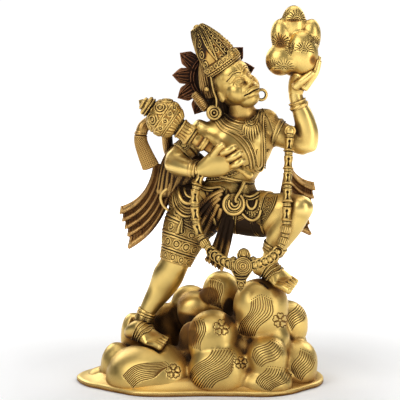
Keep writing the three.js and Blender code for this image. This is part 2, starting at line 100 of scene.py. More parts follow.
def axes(across, forward, up, origin):
    """The matrix that takes own axes to the directions given, and their zero to origin."""
    matrix = Matrix((across, forward, up)).transposed().to_4x4()
    matrix.translation = origin
    return matrix


# Relief: heights in millimetres over flat coordinates

def ridge(distance, width):
    """A rounded ridge, 1 at its middle and 0 a width away."""
    return np.clip(1 - (distance / width) ** 2, 0, 1)


def repeat(value, pitch):
    """The distance from the middle of the nearest of evenly spaced places."""
    return (value / pitch - np.floor(value / pitch) - 0.5) * pitch


def stripes(value, width):
    """Rounded ridges, one for each whole step of value. Width is half of one, as a share of a step."""
    return ridge(repeat(value, 1), width)


def flutes(turn, count, width, slant=0.0):
    """Ridges side by side round a turned form. Slant carries them round, in steps."""
    return stripes(turn * count / TURN + slant, width)


def sharpened(fold):
    """A wave made squarer, as cloth pleats are."""
    return np.sign(fold) * np.abs(fold) ** 0.7


def dots(a, b, pitch, radius):
    """A row of round beads along a, centred on b = 0."""
    return np.sqrt(np.clip(1 - (repeat(a, pitch) ** 2 + b**2) / radius**2, 0, 1))


def rings(distance, radii, width):
    """Rounded ridges at several distances."""
    return sum(ridge(distance - radius, width) for radius in radii)


def stroke(a, b, points, width):
    """A rounded line through points, 1 on it and 0 a width away."""
    near = np.full(a.shape, np.inf)
    for (x0, y0), (x1, y1) in zip(points, points[1:]):
        box = (a > min(x0, x1) - width) & (a < max(x0, x1) + width)
        box &= (b > min(y0, y1) - width) & (b < max(y0, y1) + width)
        if not box.any():
            continue
        dx, dy = x1 - x0, y1 - y0
        t = np.clip(((a[box] - x0) * dx + (b[box] - y0) * dy) / max(dx * dx + dy * dy, 1e-9), 0, 1)
        near[box] = np.minimum(near[box], np.hypot(a[box] - x0 - t * dx, b[box] - y0 - t * dy))
    return np.clip(1 - (near / width) ** 2, 0, 1)


def spiral(a, b, turns, radius, width):
    """A spiral ridge round the origin."""
    far = np.hypot(a, b)
    turn = np.arctan2(b, a) / TURN
    pitch = radius / turns
    inside = np.clip((radius - far) / width, 0, 1)
    return ridge(repeat(far - turn * pitch, pitch), width) * inside


# Shapes in bmesh

def spots(bm):
    """The places of all vertices."""
    return np.array([vert.co for vert in bm.verts])


def put(bm, new):
    """Moves the vertices to new places."""
    for vert, place in zip(bm.verts, new):
        vert.co = place


def close(bm, reach=0.02):
    """Closes seams and poles and turns the faces outwards."""
    bmesh.ops.remove_doubles(bm, verts=bm.verts, dist=reach)
    bmesh.ops.recalc_face_normals(bm, faces=bm.faces)
    return bm


def sheet(columns, rows, place):
    """A grid whose vertices are placed by place(u, v), both from 0 to 1."""
    bm = bmesh.new()
    bmesh.ops.create_grid(bm, x_segments=columns, y_segments=rows, size=0.5)
    flat = spots(bm)
    put(bm, place(flat[:, 0] + 0.5, flat[:, 1] + 0.5))
    return bm


def tube(stations, around=24, count=24, front=FRONT, relief=None, dome=0.45, caps=4, square=1.0):
    """A limb through stations [x, y, z, half across, half through] with domed ends.

    relief(turn, run) raises it, with turn 0 at the front and run in millimetres along it.
    """
    line = smooth_path(stations, count)
    if line.shape[1] == 4:
        line = np.column_stack([line, line[:, 3]])
    along, side, depth = frames(line, front)
    far = length_of(line)
    rows = count - 1 + 2 * caps

    def place(u, v):
        row = np.rint(v * rows).astype(int) - caps
        ring = np.clip(row, 0, count - 1)
        lean = (row - ring) / caps * math.pi / 2
        turn = (u - 0.5) * TURN
        swell = 0 if relief is None else relief(turn, ring / (count - 1) * far)
        across, through = np.abs(np.sin(turn)) ** square, np.abs(np.cos(turn)) ** square
        a = (across * np.sign(np.sin(turn)) * (line[ring, 3] + swell) * np.cos(lean))[:, None]
        b = (through * np.sign(np.cos(turn)) * (line[ring, 4] + swell) * np.cos(lean))[:, None]
        c = (np.sin(lean) * dome * line[ring, 3])[:, None]
        return line[ring, :3] + a * side[ring] + b * depth[ring] + c * along[ring]

    return close(sheet(around, rows, place))


def blob(centre, half, turn=(0, 0, 0), around=32, rows=20, shape=None):
    """An ellipsoid, turned by degrees about X, Y and Z. Shape moves the unit ball's places."""
    bm = bmesh.new()
    bmesh.ops.create_uvsphere(bm, u_segments=around, v_segments=rows, radius=1)
    spin = Matrix.Identity(4)
    for axis, degrees in zip("XYZ", turn):
        spin = Matrix.Rotation(math.radians(degrees), 4, axis) @ spin
    if shape is not None:
        put(bm, shape(spots(bm)))
    stretch = Matrix.Diagonal((*half, 1))
    bmesh.ops.transform(bm, matrix=Matrix.Translation(centre) @ spin @ stretch, verts=bm.verts)
    return bm


def turned(profile, start, end, around=48, relief=None):
    """A turned form: profile [distance along, radius] from one point towards another."""
    profile = np.array(profile, float)
    along = unit(np.array(end, float) - start)
    side = unit(np.cross(along, FRONT if abs(along[1]) < 0.9 else UP))
    depth = np.cross(side, along)
    rows = len(profile) - 1

    def place(u, v):
        row = np.rint(v * rows).astype(int)
        turn = (u - 0.5) * TURN
        s, r = profile[row].T
        swell = 0 if relief is None else relief(turn, s, r) * (r > 0)
        a, b = np.sin(turn) * (r + swell), np.cos(turn) * (r + swell)
        return np.array(start) + s[:, None] * along + a[:, None] * side + b[:, None] * depth

    return close(sheet(around, rows, place))


def hoop(centre, facing, radius, wire, around=48, sides=12, relief=None):
    """A round ring of wire, facing along a direction."""
    facing = unit(np.array(facing, float))
    side = unit(np.cross(facing, UP if abs(facing[2]) < 0.9 else FRONT))
    up = np.cross(side, facing)

    def place(u, v):
        turn, roll = u * TURN, v * TURN
        thick = wire + (0 if relief is None else relief(turn, roll))
        reach = (radius + thick * np.cos(roll))[:, None]
        out = np.cos(turn)[:, None] * side + np.sin(turn)[:, None] * up
        return np.array(centre) + out * reach + facing * (thick * np.sin(roll))[:, None]

    return close(sheet(around, sides, place))


def thicken(bm, thick):
    """A sheet made solid towards the back."""
    made = bmesh.ops.extrude_face_region(bm, geom=bm.faces[:], use_keep_orig=True)["geom"]
    back = [item for item in made if isinstance(item, bmesh.types.BMVert)]
    bmesh.ops.translate(bm, vec=(0, thick, 0), verts=back)
    bmesh.ops.recalc_face_normals(bm, faces=bm.faces)
    return bm


def slab(columns, rows, thick, place):
    """A sheet given a thickness behind its front."""
    return thicken(sheet(columns, rows, place), thick)


def gather(shapes):
    """Several shapes as one bmesh."""
    whole = bmesh.new()
    for shape in shapes:
        mesh = bpy.data.meshes.new("part")
        shape.to_mesh(mesh)
        shape.free()
        whole.from_mesh(mesh)
        bpy.data.meshes.remove(mesh)
    return whole


def modified(mesh, kind, **settings):
    """The mesh with one modifier applied, in place of the mesh given."""
    holder = bpy.data.objects.new("holder", mesh)
    bpy.context.collection.objects.link(holder)
    modifier = holder.modifiers.new("Change", kind)
    for key, value in settings.items():
        setattr(modifier, key, value)
    made = bpy.data.meshes.new_from_object(holder.evaluated_get(bpy.context.evaluated_depsgraph_get()))
    bpy.data.meshes.remove(mesh)
    return made


def fuse(shapes, voxel, passes=4):
    """Overlapping closed shapes grown into one smooth skin."""
    mesh = bpy.data.meshes.new("skin")
    whole = gather(shapes)
    whole.to_mesh(mesh)
    whole.free()
    skin = modified(mesh, "REMESH", mode="VOXEL", voxel_size=voxel)
    bm = bmesh.new()
    bm.from_mesh(skin)
    bpy.data.meshes.remove(skin)
    for _ in range(passes):
        bmesh.ops.smooth_vert(bm, verts=bm.verts, factor=0.5,
                              use_axis_x=True, use_axis_y=True, use_axis_z=True)
    bm.normal_update()
    return bm


def note_cuts_and_darkening(bm, depths):
    """Keeps how deep each vertex is cut or how much it is darkened, where that is more than before."""
    cut = bm.verts.layers.float.get("cut") or bm.verts.layers.float.new("cut")
    for vert, depth in zip(bm.verts, depths):
        vert[cut] = max(vert[cut], depth)


def shift(bm, height, note=False):
    """Moves every vertex along its normal by height(places, normals). Note keeps how deep it cuts."""
    bm.normal_update()
    normals = np.array([vert.normal for vert in bm.verts])
    rise = height(spots(bm), normals)
    put(bm, spots(bm) + normals * rise[:, None])
    if note:
        note_cuts_and_darkening(bm, np.maximum(-rise, 0))
    bm.normal_update()
    return bm


def cut_flat(bm, height):
    """Takes away what lies lower than height and closes the cut."""
    everything = bm.verts[:] + bm.edges[:] + bm.faces[:]
    bmesh.ops.bisect_plane(bm, geom=everything, plane_co=(0, 0, height), plane_no=(0, 0, -1),
                           clear_outer=True)
    bmesh.ops.holes_fill(bm, edges=[edge for edge in bm.edges if edge.is_boundary])


def refine(bm, wanted, cuts):
    """Cuts the faces finer whose middles wanted(places) picks."""
    middles = np.array([face.calc_center_median() for face in bm.faces])
    chosen = wanted(middles)
    edges = {edge for face, pick in zip(bm.faces, chosen) if pick for edge in face.edges}
    bmesh.ops.subdivide_edges(bm, edges=list(edges), cuts=cuts, use_grid_fill=True)


EYE = Vector((0, -2500, 600))
SIGHT_SLACK = 2.5


def seen(places):
    """Where the viewer sees places, drawn on the upright plane through the origin."""
    share = -EYE.y / (places[:, 1] - EYE.y)
    return places[:, 0] * share, EYE.z + (places[:, 2] - EYE.z) * share


def in_sight(bm, places):
    """Which places the viewer sees past the rest of the shape."""
    tree = BVHTree.FromBMesh(bm)
    clear = []
    for place in places:
        ray = Vector(place) - EYE
        _, _, _, reach = tree.ray_cast(EYE, ray.normalized())
        clear.append(reach is not None and reach > ray.length - SIGHT_SLACK)
    return np.array(clear, bool)


def carve(bm, lines, width, deep, cuts=3):
    """Cuts grooves along lines drawn as the viewer sees them, with finer faces round them."""

    def drawn(places, reach):
        near = np.zeros(len(places))
        for line in lines:
            near = np.maximum(near, stroke(*seen(places), line, reach))
        touched = near > 0
        near[touched] *= in_sight(bm, places[touched])
        return near

    def cut(places, normals):
        return -deep * drawn(places, width) * np.clip(-normals[:, 1] * 4, 0, 1)

    refine(bm, lambda places: drawn(places, width + 1.4) > 0, cuts)
    return shift(bm, cut, True)


def paint_shade(bm, patches, deep):
    """Paints shade: darkens soft patches [x, z, half width, half height], as the viewer sees them, on the
    near side.
    """
    bm.normal_update()
    a, b = seen(spots(bm))
    facing = np.clip(0.4 - np.array([vert.normal.y for vert in bm.verts]), 0, 1)
    for x, z, wide, tall in patches:
        note_cuts_and_darkening(bm, deep * facing * np.clip(1.3 - np.hypot((a - x) / wide, (b - z) / tall), 0, 1))
    return bm


WAVE_POINTS = 13
WAVE_SWAY = 0.055


def fan(start, middle, end, count):
    """Wavy lines side by side, each from one curve through a second to a third."""
    rails = [smooth_path(rail, count) for rail in (start, middle, end)]
    lines = []
    for corners in zip(*rails):
        line = smooth_path(corners, WAVE_POINTS)
        reach = line[-1] - line[0]
        along = unit(reach)
        sway = WAVE_SWAY * math.hypot(*reach) * np.sin(TURN * np.linspace(0, 1, WAVE_POINTS))
        lines.append(line + sway[:, None] * np.array((-along[1], along[0])))
    return lines


def ring_line(x, z, radius, count=14):
    """A closed round outline."""
    turns = [i / count * TURN for i in range(count + 1)]
    return [(x + radius * math.cos(turn), z + radius * math.sin(turn)) for turn in turns]


def arc(x, z, radius, start, end, count=16):
    """Places on a round arc, by degrees from its lowest place towards the viewer's right."""
    turns = [math.radians(mix(start, end, i / (count - 1))) for i in range(count)]
    return [(x + radius * math.sin(turn), z - radius * math.cos(turn)) for turn in turns]


def flower(x, z, radius):
    """A flower of five notched petals, in outline."""
    outline = []
    for i in range(121):
        turn = i / 120 * TURN
        petal = abs(math.cos(2.5 * turn))
        reach = radius * (0.55 + 0.45 * petal**0.45 - 0.16 * max(petal - 0.9, 0) * 10)
        outline.append((x + reach * math.sin(turn), z + reach * math.cos(turn)))
    veins = []
    for i in range(10):
        turn = (i // 2 + 0.5) / 5 * TURN + (i % 2 - 0.5) * 0.3
        veins.append([(x + r * math.sin(turn), z + r * math.cos(turn)) for r in (radius * 0.3, radius * 0.6)])
    return [outline, ring_line(x, z, radius * 0.22), *veins]


def moved(bm, matrix):
    """The shape carried by a matrix, its faces still outwards."""
    bmesh.ops.transform(bm, matrix=matrix, verts=bm.verts)
    bmesh.ops.recalc_face_normals(bm, faces=bm.faces)
    return bm


# Pieces

def hollows(mesh, passes=12):
    """How far each vertex lies below (above 0) or over its surroundings, in millimetres."""
    count = len(mesh.vertices)
    place, normal = np.empty(count * 3), np.empty(count * 3)
    mesh.vertices.foreach_get("co", place)
    mesh.vertex_normals.foreach_get("vector", normal)
    ends = np.empty(len(mesh.edges) * 2, int)
    mesh.edges.foreach_get("vertices", ends)
    start, end = np.concatenate([ends.reshape(-1, 2), ends.reshape(-1, 2)[:, ::-1]]).T
    place, normal = place.reshape(-1, 3), normal.reshape(-1, 3)
    degree = np.maximum(np.bincount(start, minlength=count), 1)[:, None]
    flat = place
    for _ in range(passes):
        total = np.stack([np.bincount(start, flat[end, axis], count) for axis in range(3)], axis=1)
        flat = (flat + total / degree) / 2
    return ((flat - place) * normal).sum(axis=1) / MM


def lightened(mesh, keep):
    """The mesh with only a share of its faces kept, thinned most where it is flattest."""
    name = mesh.name
    light = modified(mesh, "DECIMATE", ratio=keep)
    light.name = name
    return light


def brass_piece(name, bm, brass, node="figure", soft=1.0, keep=0.5):
    """A finished piece, in metres.

    Soft is how much patina the hollows of its shape take, besides its cut lines and painted shade
    patches. Keep is the share of its faces that stays.
    """
    bmesh.ops.scale(bm, vec=(MM, MM, MM), verts=bm.verts)
    mesh = bpy.data.meshes.new(name)
    bm.to_mesh(mesh)
    bm.free()
    mesh.shade_smooth()
    # The hollow attribute adds the painted shade patches noted on the shape to the patina of its hollows and
    # cut lines.
    depth = hollows(mesh) * soft
    if "cut" in mesh.attributes:
        cut = np.empty(len(mesh.vertices))
        mesh.attributes["cut"].data.foreach_get("value", cut)
        depth += cut
    mesh.attributes.new("hollow_and_shade", "FLOAT", "POINT").data.foreach_set("value", depth)
    mesh = lightened(mesh, keep)
    mesh.shade_smooth()
    mesh.materials.append(brass)
    piece = bpy.data.objects.new(name, mesh)
    bpy.context.collection.objects.link(piece)
    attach(piece, "root")
    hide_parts(node)
    return piece


# Materials

# The dark and the brown colours below serve both the patina in hollows and the painted shade; the rubbed
# factor lightens worn raised places.
PATINA_AND_SHADE_DARK = (0.035, 0.017, 0.006)
PATINA_AND_SHADE_BROWN = (0.55, 0.36, 0.22)
RUBBED = (1.12, 1.16, 1.3)
# Where the hollow attribute (patina, cut lines and painted shade patches) starts and stops darkening.
HOLLOW_AND_SHADE_SHOWS = (0.02, 0.34)
# Where the ambient occlusion's painted shade starts and stops, and how far it looks.
SHADE_PIT_SHOWS = (0.91, 0.42)
RUB_SHOWS = (-0.05, -0.3)
SHADE_PIT_REACH = 0.03


def brass(name, bright, gloss, patina_and_shade_amount, grain, deep=PATINA_AND_SHADE_DARK):
    """Yellow brass with dark patina left in its hollows, painted shade in its corners, under its parts and on
    patches noted on the shape, and its raised places rubbed bright.

    Gloss is how rough it is where it's bare, the number after gloss how much patina and painted shade it
    takes, and grain the height of its fine unevenness in millimetres.
    """
    material = bpy.data.materials.new(name)
    material.use_nodes = True
    nodes, links = material.node_tree.nodes, material.node_tree.links
    shader = nodes["Principled BSDF"]

    def node(kind, **values):
        made = nodes.new(kind)
        for key, value in values.items():
            setattr(made, key, value)
        return made

    def reckon(operation, a, b=0.0, clamp=False):
        made = node("ShaderNodeMath", operation=operation, use_clamp=clamp)
        for socket, value in zip(made.inputs, (a, b)):
            if isinstance(value, (int, float)):
                socket.default_value = value
            else:
                links.new(value, socket)
        return made.outputs[0]

    def ramp(value, low, high):
        made = node("ShaderNodeMapRange", interpolation_type="SMOOTHSTEP")
        links.new(value, made.inputs["Value"])
        made.inputs["From Min"].default_value = low
        made.inputs["From Max"].default_value = high
        return made.outputs["Result"]

    def noise(scale, detail):
        made = node("ShaderNodeTexNoise")
        links.new(place.outputs["Object"], made.inputs["Vector"])
        made.inputs["Scale"].default_value = scale
        made.inputs["Detail"].default_value = detail
        return made.outputs["Fac"]

    def blend(fac, a, b):
        made = node("ShaderNodeMix", data_type="RGBA")
        links.new(fac, made.inputs["Factor"])
        for socket, value in ((made.inputs["A"], a), (made.inputs["B"], b)):
            if isinstance(value, tuple):
                socket.default_value = value
            else:
                links.new(value, socket)
        return made.outputs["Result"]

    place = node("ShaderNodeTexCoord")
    depth = node("ShaderNodeAttribute", attribute_name="hollow_and_shade")
    # Ambient occlusion paints shade into corners, creases and under parts; it also stands for patina in
    # recesses.
    shade = node("ShaderNodeAmbientOcclusion", samples=6)
    shade.inputs["Distance"].default_value = SHADE_PIT_REACH

    # The hollow attribute: patina in hollows and cut lines, plus painted shade patches.
    cut = ramp(depth.outputs["Fac"], *HOLLOW_AND_SHADE_SHOWS)
    shade_pit = ramp(shade.outputs["AO"], *SHADE_PIT_SHOWS)
    cloud = reckon("SUBTRACT", noise(38, 4), 0.5)
    # Patina and painted shade together, with a cloud of uneven tone.
    patina_and_shade = reckon("ADD", reckon("MULTIPLY", cut, patina_and_shade_amount), reckon("MULTIPLY", shade_pit, 0.95 * patina_and_shade_amount))
    patina_and_shade = reckon("ADD", patina_and_shade, reckon("MULTIPLY", cloud, 0.5 * patina_and_shade_amount), clamp=True)
    tone = blend(ramp(noise(16, 5), 0.35, 0.68), (*bright, 1), (*mix(bright, deep, 0.28), 1))
    rubbed = (*np.minimum(np.array(bright) * RUBBED, 1), 1)
    patina_and_shade_brown = (*(float(part) for part in np.array(bright) * PATINA_AND_SHADE_BROWN), 1)
    tone = blend(ramp(depth.outputs["Fac"], *RUB_SHOWS), tone, rubbed)
    # Brown, then near black, where patina and painted shade gather; the metal turns duller there too.
    tone = blend(ramp(patina_and_shade, 0.05, 0.6), tone, patina_and_shade_brown)
    links.new(blend(ramp(patina_and_shade, 0.4, 1.0), tone, (*deep, 1)), shader.inputs["Base Color"])
    links.new(reckon("SUBTRACT", 1.0, reckon("MULTIPLY", patina_and_shade, 0.3)), shader.inputs["Metallic"])
    rough = reckon("ADD", reckon("MULTIPLY", patina_and_shade, 0.35), reckon("MULTIPLY", noise(90, 3), 0.16))
    links.new(reckon("ADD", rough, gloss, clamp=True), shader.inputs["Roughness"])

    bump = node("ShaderNodeBump")
    bump.inputs["Strength"].default_value = 0.3
    bump.inputs["Distance"].default_value = grain * MM
    links.new(reckon("ADD", noise(260, 4), reckon("MULTIPLY", noise(900, 2), 0.4)), bump.inputs["Height"])
    links.new(bump.outputs["Normal"], shader.inputs["Normal"])
    return material


POLISHED = brass("polished_brass", (0.79, 0.555, 0.17), gloss=0.30, patina_and_shade_amount=0.85, grain=0.15)
FACE_BRASS = brass("face_brass", (0.70, 0.485, 0.145), gloss=0.33, patina_and_shade_amount=0.95, grain=0.15)
WORKED = brass("worked_brass", (0.67, 0.44, 0.125), gloss=0.30, patina_and_shade_amount=2.1, grain=0.12)
FOLDED = brass("folded_brass", (0.52, 0.31, 0.09), gloss=0.33, patina_and_shade_amount=1.6, grain=0.15)
CLOTH_BRASS = brass("cloth_brass", (0.60, 0.365, 0.125), 0.33, 0.9, 0.2, deep=(0.045, 0.017, 0.007))
HALO_BRASS = brass("halo_brass", (0.20, 0.085, 0.035), 0.38, 1.2, 0.25, deep=(0.02, 0.008, 0.004))
ROCK_BRASS = brass("rock_brass", (0.85, 0.60, 0.19), gloss=0.34, patina_and_shade_amount=0.75, grain=0.25)


# The body's limbs: every station is [x, y, z, half width across, half width through]

TORSO = [
    [33, 3, 222, 30, 25], [35, 2, 242, 45, 31], [38, 1, 262, 41, 29], [41, -1, 279, 31, 23],
    [47, -3, 300, 36, 27], [53, -3, 326, 45, 32], [56, -2, 348, 45, 27], [58, 0, 365, 24, 17],
    [57, -1, 376, 18, 16], [54, -4, 392, 17, 16],
]
LEG_BACK = [
    [12, 2, 246, 34, 29], [-10, 1, 226, 34, 29], [-21, -2, 206, 30, 27], [-28, -5, 186, 24, 24.5],
    [-34, -7, 168, 20, 21.5], [-44, -4, 148, 21.5, 21], [-54, 0, 128, 18, 18],
    [-67, 0, 108, 13.5, 14], [-75, 0, 92, 11.5, 12], [-79, -1, 78, 11.5, 12], [-80, -3, 67, 11.5, 12],
]
THIGH_FRONT = [
    [46, -2, 240, 30, 27], [72, -10, 236, 30, 27], [95, -24, 237, 29, 26],
    [116, -36, 244, 24.5, 23], [132, -46, 248, 19.5, 19],
]
SHIN_FRONT = [
    [133, -46, 248, 19, 19], [121, -46, 229, 20.5, 19], [108, -42, 208, 18.5, 17],
    [99, -37, 188, 13.5, 13], [94.5, -33, 173, 11, 11.5], [93.5, -31, 164, 11, 11.5],
    [92.5, -28, 155, 11, 11],
]
ARM_RAISED = [
    [84, 0, 349, 20, 20], [98, -3, 348, 19, 18], [116, -7, 341, 17, 16], [134, -10, 332, 15, 15],
    [144, -12, 329, 14, 14],
]
FOREARM_RAISED = [
    [145, -12, 326, 14.5, 14], [146, -13, 346, 15, 14], [139, -14, 371, 13.5, 13],
    [130, -14, 393, 10, 10.5], [129, -14, 404, 10, 10.5],
]
ARM_LOWERED = [
    [8, -1, 350, 19, 19], [-4, -3, 338, 17.5, 17], [-22, -7, 321, 15, 15], [-37, -12, 307, 14, 14],
]
FOREARM_LOWERED = [
    [-38, -12, 306, 14, 14], [-26, -26, 303, 14.5, 14], [-12, -40, 301, 12.5, 12],
    [2, -51, 300, 10, 10],
]
# Centre and half sizes
MUSCLES = [
    ((36, -19, 338), (19, 14, 17)), ((74, -19, 340), (19, 14, 17)), ((47, -21, 302), (20, 11, 17)),
    ((134, -50, 249), (19, 18, 18)), ((114, -40, 221), (17, 15, 22)), ((-42, 6, 152), (17, 16, 22)),
    ((106, -10, 346), (15, 13, 14)), ((-14, -8, 330), (15, 13, 14)), ((-33, -15, 170), (17, 14, 22)),
    ((22, -9, 344), (19, 15, 17)), ((31, -4, 358), (20, 14, 12)), ((87, -4, 364), (20, 15, 15.5)),
    ((92, -4, 350), (16, 15, 15)), ((55, -16, 352), (30, 14, 14)),
]


def flesh():
    """The bare body without its hands, feet and head."""
    limbs = [TORSO, LEG_BACK, THIGH_FRONT, SHIN_FRONT, ARM_RAISED, FOREARM_RAISED, ARM_LOWERED]
    shapes = [tube(limb, 40, 50) for limb in limbs]
    shapes.append(tube(FOREARM_LOWERED, 32, 30, front=UP))
    shapes += [blob(centre, half) for centre, half in MUSCLES]
    return fuse(shapes, voxel=2.0, passes=14)


# Feet: built on a flat sole in their own axes, heel at the origin and toes along +Y.
# A sole is the places of its heel and its toes, and the direction that is up on it.

SOLE_BACK = ((-97, 6, 59), (-50, -36, 56), (-0.123, -0.258, 0.958))
SOLE_FRONT = ((79.5, -12, 152), (121, -52, 140.4), (-0.07, -0.35, 0.93))
FOOT_LENGTH = 72
FOOT_WIDTH = 34
TOES = (-12.2, -4.4, 2.6, 9.0, 14.6)
TOE_SHORTER = 2.6
INSTEP_CORDS = ((27, 1.4), (31.5, 1.2), (36, 1.3))
INSTEP_REACH = math.radians(100)
# Patches of painted shade on the feet, as the viewer sees them.
FOOT_SHADE_PATCHES = [(100, 160, 22, 16), (118, 143, 16, 6), (-62, 66, 26, 7)]


def sole_matrix(sole):
    """From a foot's own axes to its sole."""
    heel, toes, up = (Vector(value) for value in sole)
    forward = (toes - heel).normalized()
    across = -forward.cross(up).normalized()
    normal = across.cross(forward).normalized()
    if normal.z < 0:
        normal.negate()
    return axes(across, forward, normal, heel)


def foot_form():
    """A bare foot with five toes, cut flat below."""
    half = FOOT_WIDTH / 2
    sides = tube([
        [0, 0, 8, 9, 8], [0, 9, 12, 12, 12], [0, 22, 15, 12.5, 15], [0, 34, 10.8, 14.5, 10.8],
        [0.5, 43, 7.2, half - 0.6, 6.8], [0.5, 49, 5.4, half - 1, 5.0],
    ], 40, 44, front=UP)
    toes = []
    for i, x in enumerate(TOES):
        end = FOOT_LENGTH - 3 - TOE_SHORTER * i
        r = 4.8 if i == 0 else 3.45 - 0.12 * i
        toes.append(tube([
            [x * 0.9, 42, r, r * 0.85], [x, end - 12, r + 2.2, r * 0.98], [x, end - 5, r + 1.2, r],
            [x, end, r, r * 1.04],
        ], 18, 18, front=UP, dome=0.7))
    bm = fuse([sides] + toes, voxel=0.62, passes=1)
    cut_flat(bm, 0.2)
    return bm


def foot(sole):
    """A foot set on its sole."""
    return moved(foot_form(), sole_matrix(sole))


def foot_bands(sole):
    """Nested cords and a row of beads slung over the instep from the heel."""
    tree = BVHTree.FromBMesh(foot_form())

    def worn_at(y, k, lift):
        turn = k * INSTEP_REACH
        away = Vector((math.sin(turn), 0, math.cos(turn)))
        axis = Vector((0, y - 13 * abs(k) ** 1.6, 7))
        place = tree.ray_cast(axis + away * 60, -away)[0]
        return (place or axis + away * 12) + away * lift

    shapes = []
    for y, wire in INSTEP_CORDS:
        line = [[*worn_at(y, k, wire * 0.5), wire] for k in np.linspace(-1, 1, 19)]
        shapes.append(tube(line, 12, 60, dome=0.6))
    for k in np.linspace(-1, 1, 25):
        shapes.append(blob(tuple(worn_at(40.5, k, 0.6)), (1.5, 1.5, 1.5), around=10, rows=7))
    return moved(gather(shapes), sole_matrix(sole))


# Hands

MACE_TIP = np.array((-82.0, -48.0, 394.0))
MACE_END = np.array((66.0, -60.0, 295.0))
MACE_LENGTH = 184
MACE_BALL = 25


def raised_hand():
    """An open hand bent back under the mountain, its palm up."""
    palm = tube([[129, -14, 400, 10, 10], [131, -14, 412, 12, 13], [136, -14, 424, 14, 17]], 30, 24)
    fingers = []
    for i in range(4):
        y = -28 + 9.2 * i
        reach = 444 + 8 * math.sin(math.pi * (i + 0.5) / 4)
        fingers.append(tube([
            [140, y, 408, 5.6], [147, y, 418, 5.4], [155, y, 430, 5.0], [159, y, reach - 2, 4.4],
        ], 18, 20))
    thumb = tube([[128, -25, 410, 6], [139, -30, 420, 5.8], [151, -31, 430, 4.4]], 18, 16)
    return fuse([palm, thumb] + fingers, voxel=1.0, passes=3)


# Where each finger starts and ends, as (x, z)
GRIP_FINGERS = (((28, 324), (45, 333)), ((36, 315.5), (53, 325.5)), ((42, 306.5), (56, 315.5)))


def grip_hand():
    """A hand closed on the shaft of the mace, seen from its back."""
    palm = tube([
        [0, -51, 300, 10, 9], [12, -55, 305, 15, 9.5], [24, -59, 311, 18.5, 8.5], [34, -61, 316, 16, 6.5],
    ], 36, 30)
    fingers = []
    for (x0, z0), (x1, z1) in GRIP_FINGERS:
        middle = mix((x0, z0), (x1, z1), 0.5)
        fingers.append(tube([
            [x0, -61, z0, 4.6], [x0 + 3.5, -66.5, z0 + 2, 5.0], [middle[0], -69.5, middle[1], 5.1],
            [x1 - 2, -68.5, z1 - 1, 5.0], [x1 + 1, -65, z1 + 0.6, 4.4],
        ], 22, 24, dome=0.5))
    thumb = tube([
        [14, -57, 314, 5], [19, -62, 323, 5.4], [24.5, -66, 331, 5.2], [31, -67.5, 336, 4.8],
    ], 20, 20)
    return fuse([palm, thumb] + fingers, voxel=0.75, passes=2)


# Mace

MACE_ROUND = 22
CURL_HEIGHT = 30
SCROLL_HEIGHT = 45.8
MACE_HEAD_TIP = [
    [0, 0], [1.5, 1.5], [3, 3.6], [5, 5], [5.5, 7], [6, 8.4], [8, 9.4], [10, 8.4], [10.5, 10.4],
    [11, 12.4], [13, 14], [15, 13.4], [16, 12], [17.5, 14.4], [19, 13.6],
]
MACE_COLLAR = [
    [64.5, 13], [65.5, 11.8], [67, 14.2], [69, 14.4], [70, 12.6], [72, 12.2], [75, 11.8], [78, 12.2],
    [81, 13.6], [83, 15.2], [84.5, 15], [85.5, 11.6], [87, 12.2], [88.5, 11.4], [89.5, 8.6],
]
MACE_SHAFT = [
    [92, 8.2], [101, 7.9], [102, 9.6], [104, 10.4], [105.2, 9.2], [106.4, 10.2], [108.4, 9.6],
    [109.5, 7.2], [125, 6.6], [140, 6.3], [155, 5.9], [166, 5.4], [167.5, 6], [170, 5.4],
    [173, 5.8], [178, 6.6], [181.5, 6.4], [183.4, 5.4], [MACE_LENGTH, 0],
]


def mace_worked(turn, s, r):
    """Curls, scrolls and tongues on the ball, leaves on the collar and a cord below it."""
    a = turn * MACE_ROUND
    across = repeat(a, TURN * MACE_ROUND / 7)
    curl = np.hypot(across, s - CURL_HEIGHT)
    hook = np.arctan2(s - CURL_HEIGHT, across) > -2.2
    curls = rings(curl, (1.2, 4.6), 1.4) + ridge(curl - 8, 1.5) * hook
    lines = rings(s, (21.2, 38.4, 41.0, 50.6, 53.4), 1.0)
    scroll = np.hypot(repeat(a + 4, TURN * MACE_ROUND / 13), s - SCROLL_HEIGHT)
    scrolls = (rings(scroll, (3.2,), 1.2) + ridge(scroll, 1.3)) * (np.abs(s - SCROLL_HEIGHT) < 4.6)
    tongues = ridge(repeat(a, TURN * MACE_ROUND / 24), 1.9) * (s > 54.8) * (s < 63.6)
    leaf = flutes(turn, 16, 0.42) * (s > 70.5) * (s < 82)
    cord = flutes(turn, 30, 0.4, s * 0.4) * (s > 86) * (s < 89)
    body = 1.9 * curls * (np.abs(s - CURL_HEIGHT) < 8.4) + 1.3 * lines + 1.5 * scrolls
    return (body + 1.5 * tongues) * (s > 20) * (s < 64) + leaf + 0.9 * cord


def mace():
    """The mace, turned in one: tip, ball, collar and shaft."""
    ball = []
    for i in range(1, 24):
        angle = (0.55 + i / 24 * 4.5) / 5.3 * math.pi
        ball.append([43 - math.cos(angle) * MACE_BALL, math.sin(angle) * MACE_BALL])
    profile = smooth_profile(MACE_HEAD_TIP + ball + MACE_COLLAR + MACE_SHAFT, 260)
    return turned(profile, MACE_TIP, MACE_END, 168, mace_worked)


# Head: built upright with the face along -Y, then tilted back and turned to the viewer's right

HEAD_CENTRE = Vector((50, -8, 408))
HEAD_UP = Vector((-0.47, 0.1, 0.87)).normalized()
HEAD_FACE = Vector((0.51, -0.78, 0.36)).normalized()
CROWN_BRIM = 31
CROWN_TALL = 66
CROWN_LEAN = -11
CROWN_BAND = 15.5
# A patch of painted shade on the crown.
CROWN_SHADE_PATCHES = [(0, 464, 11, 28)]


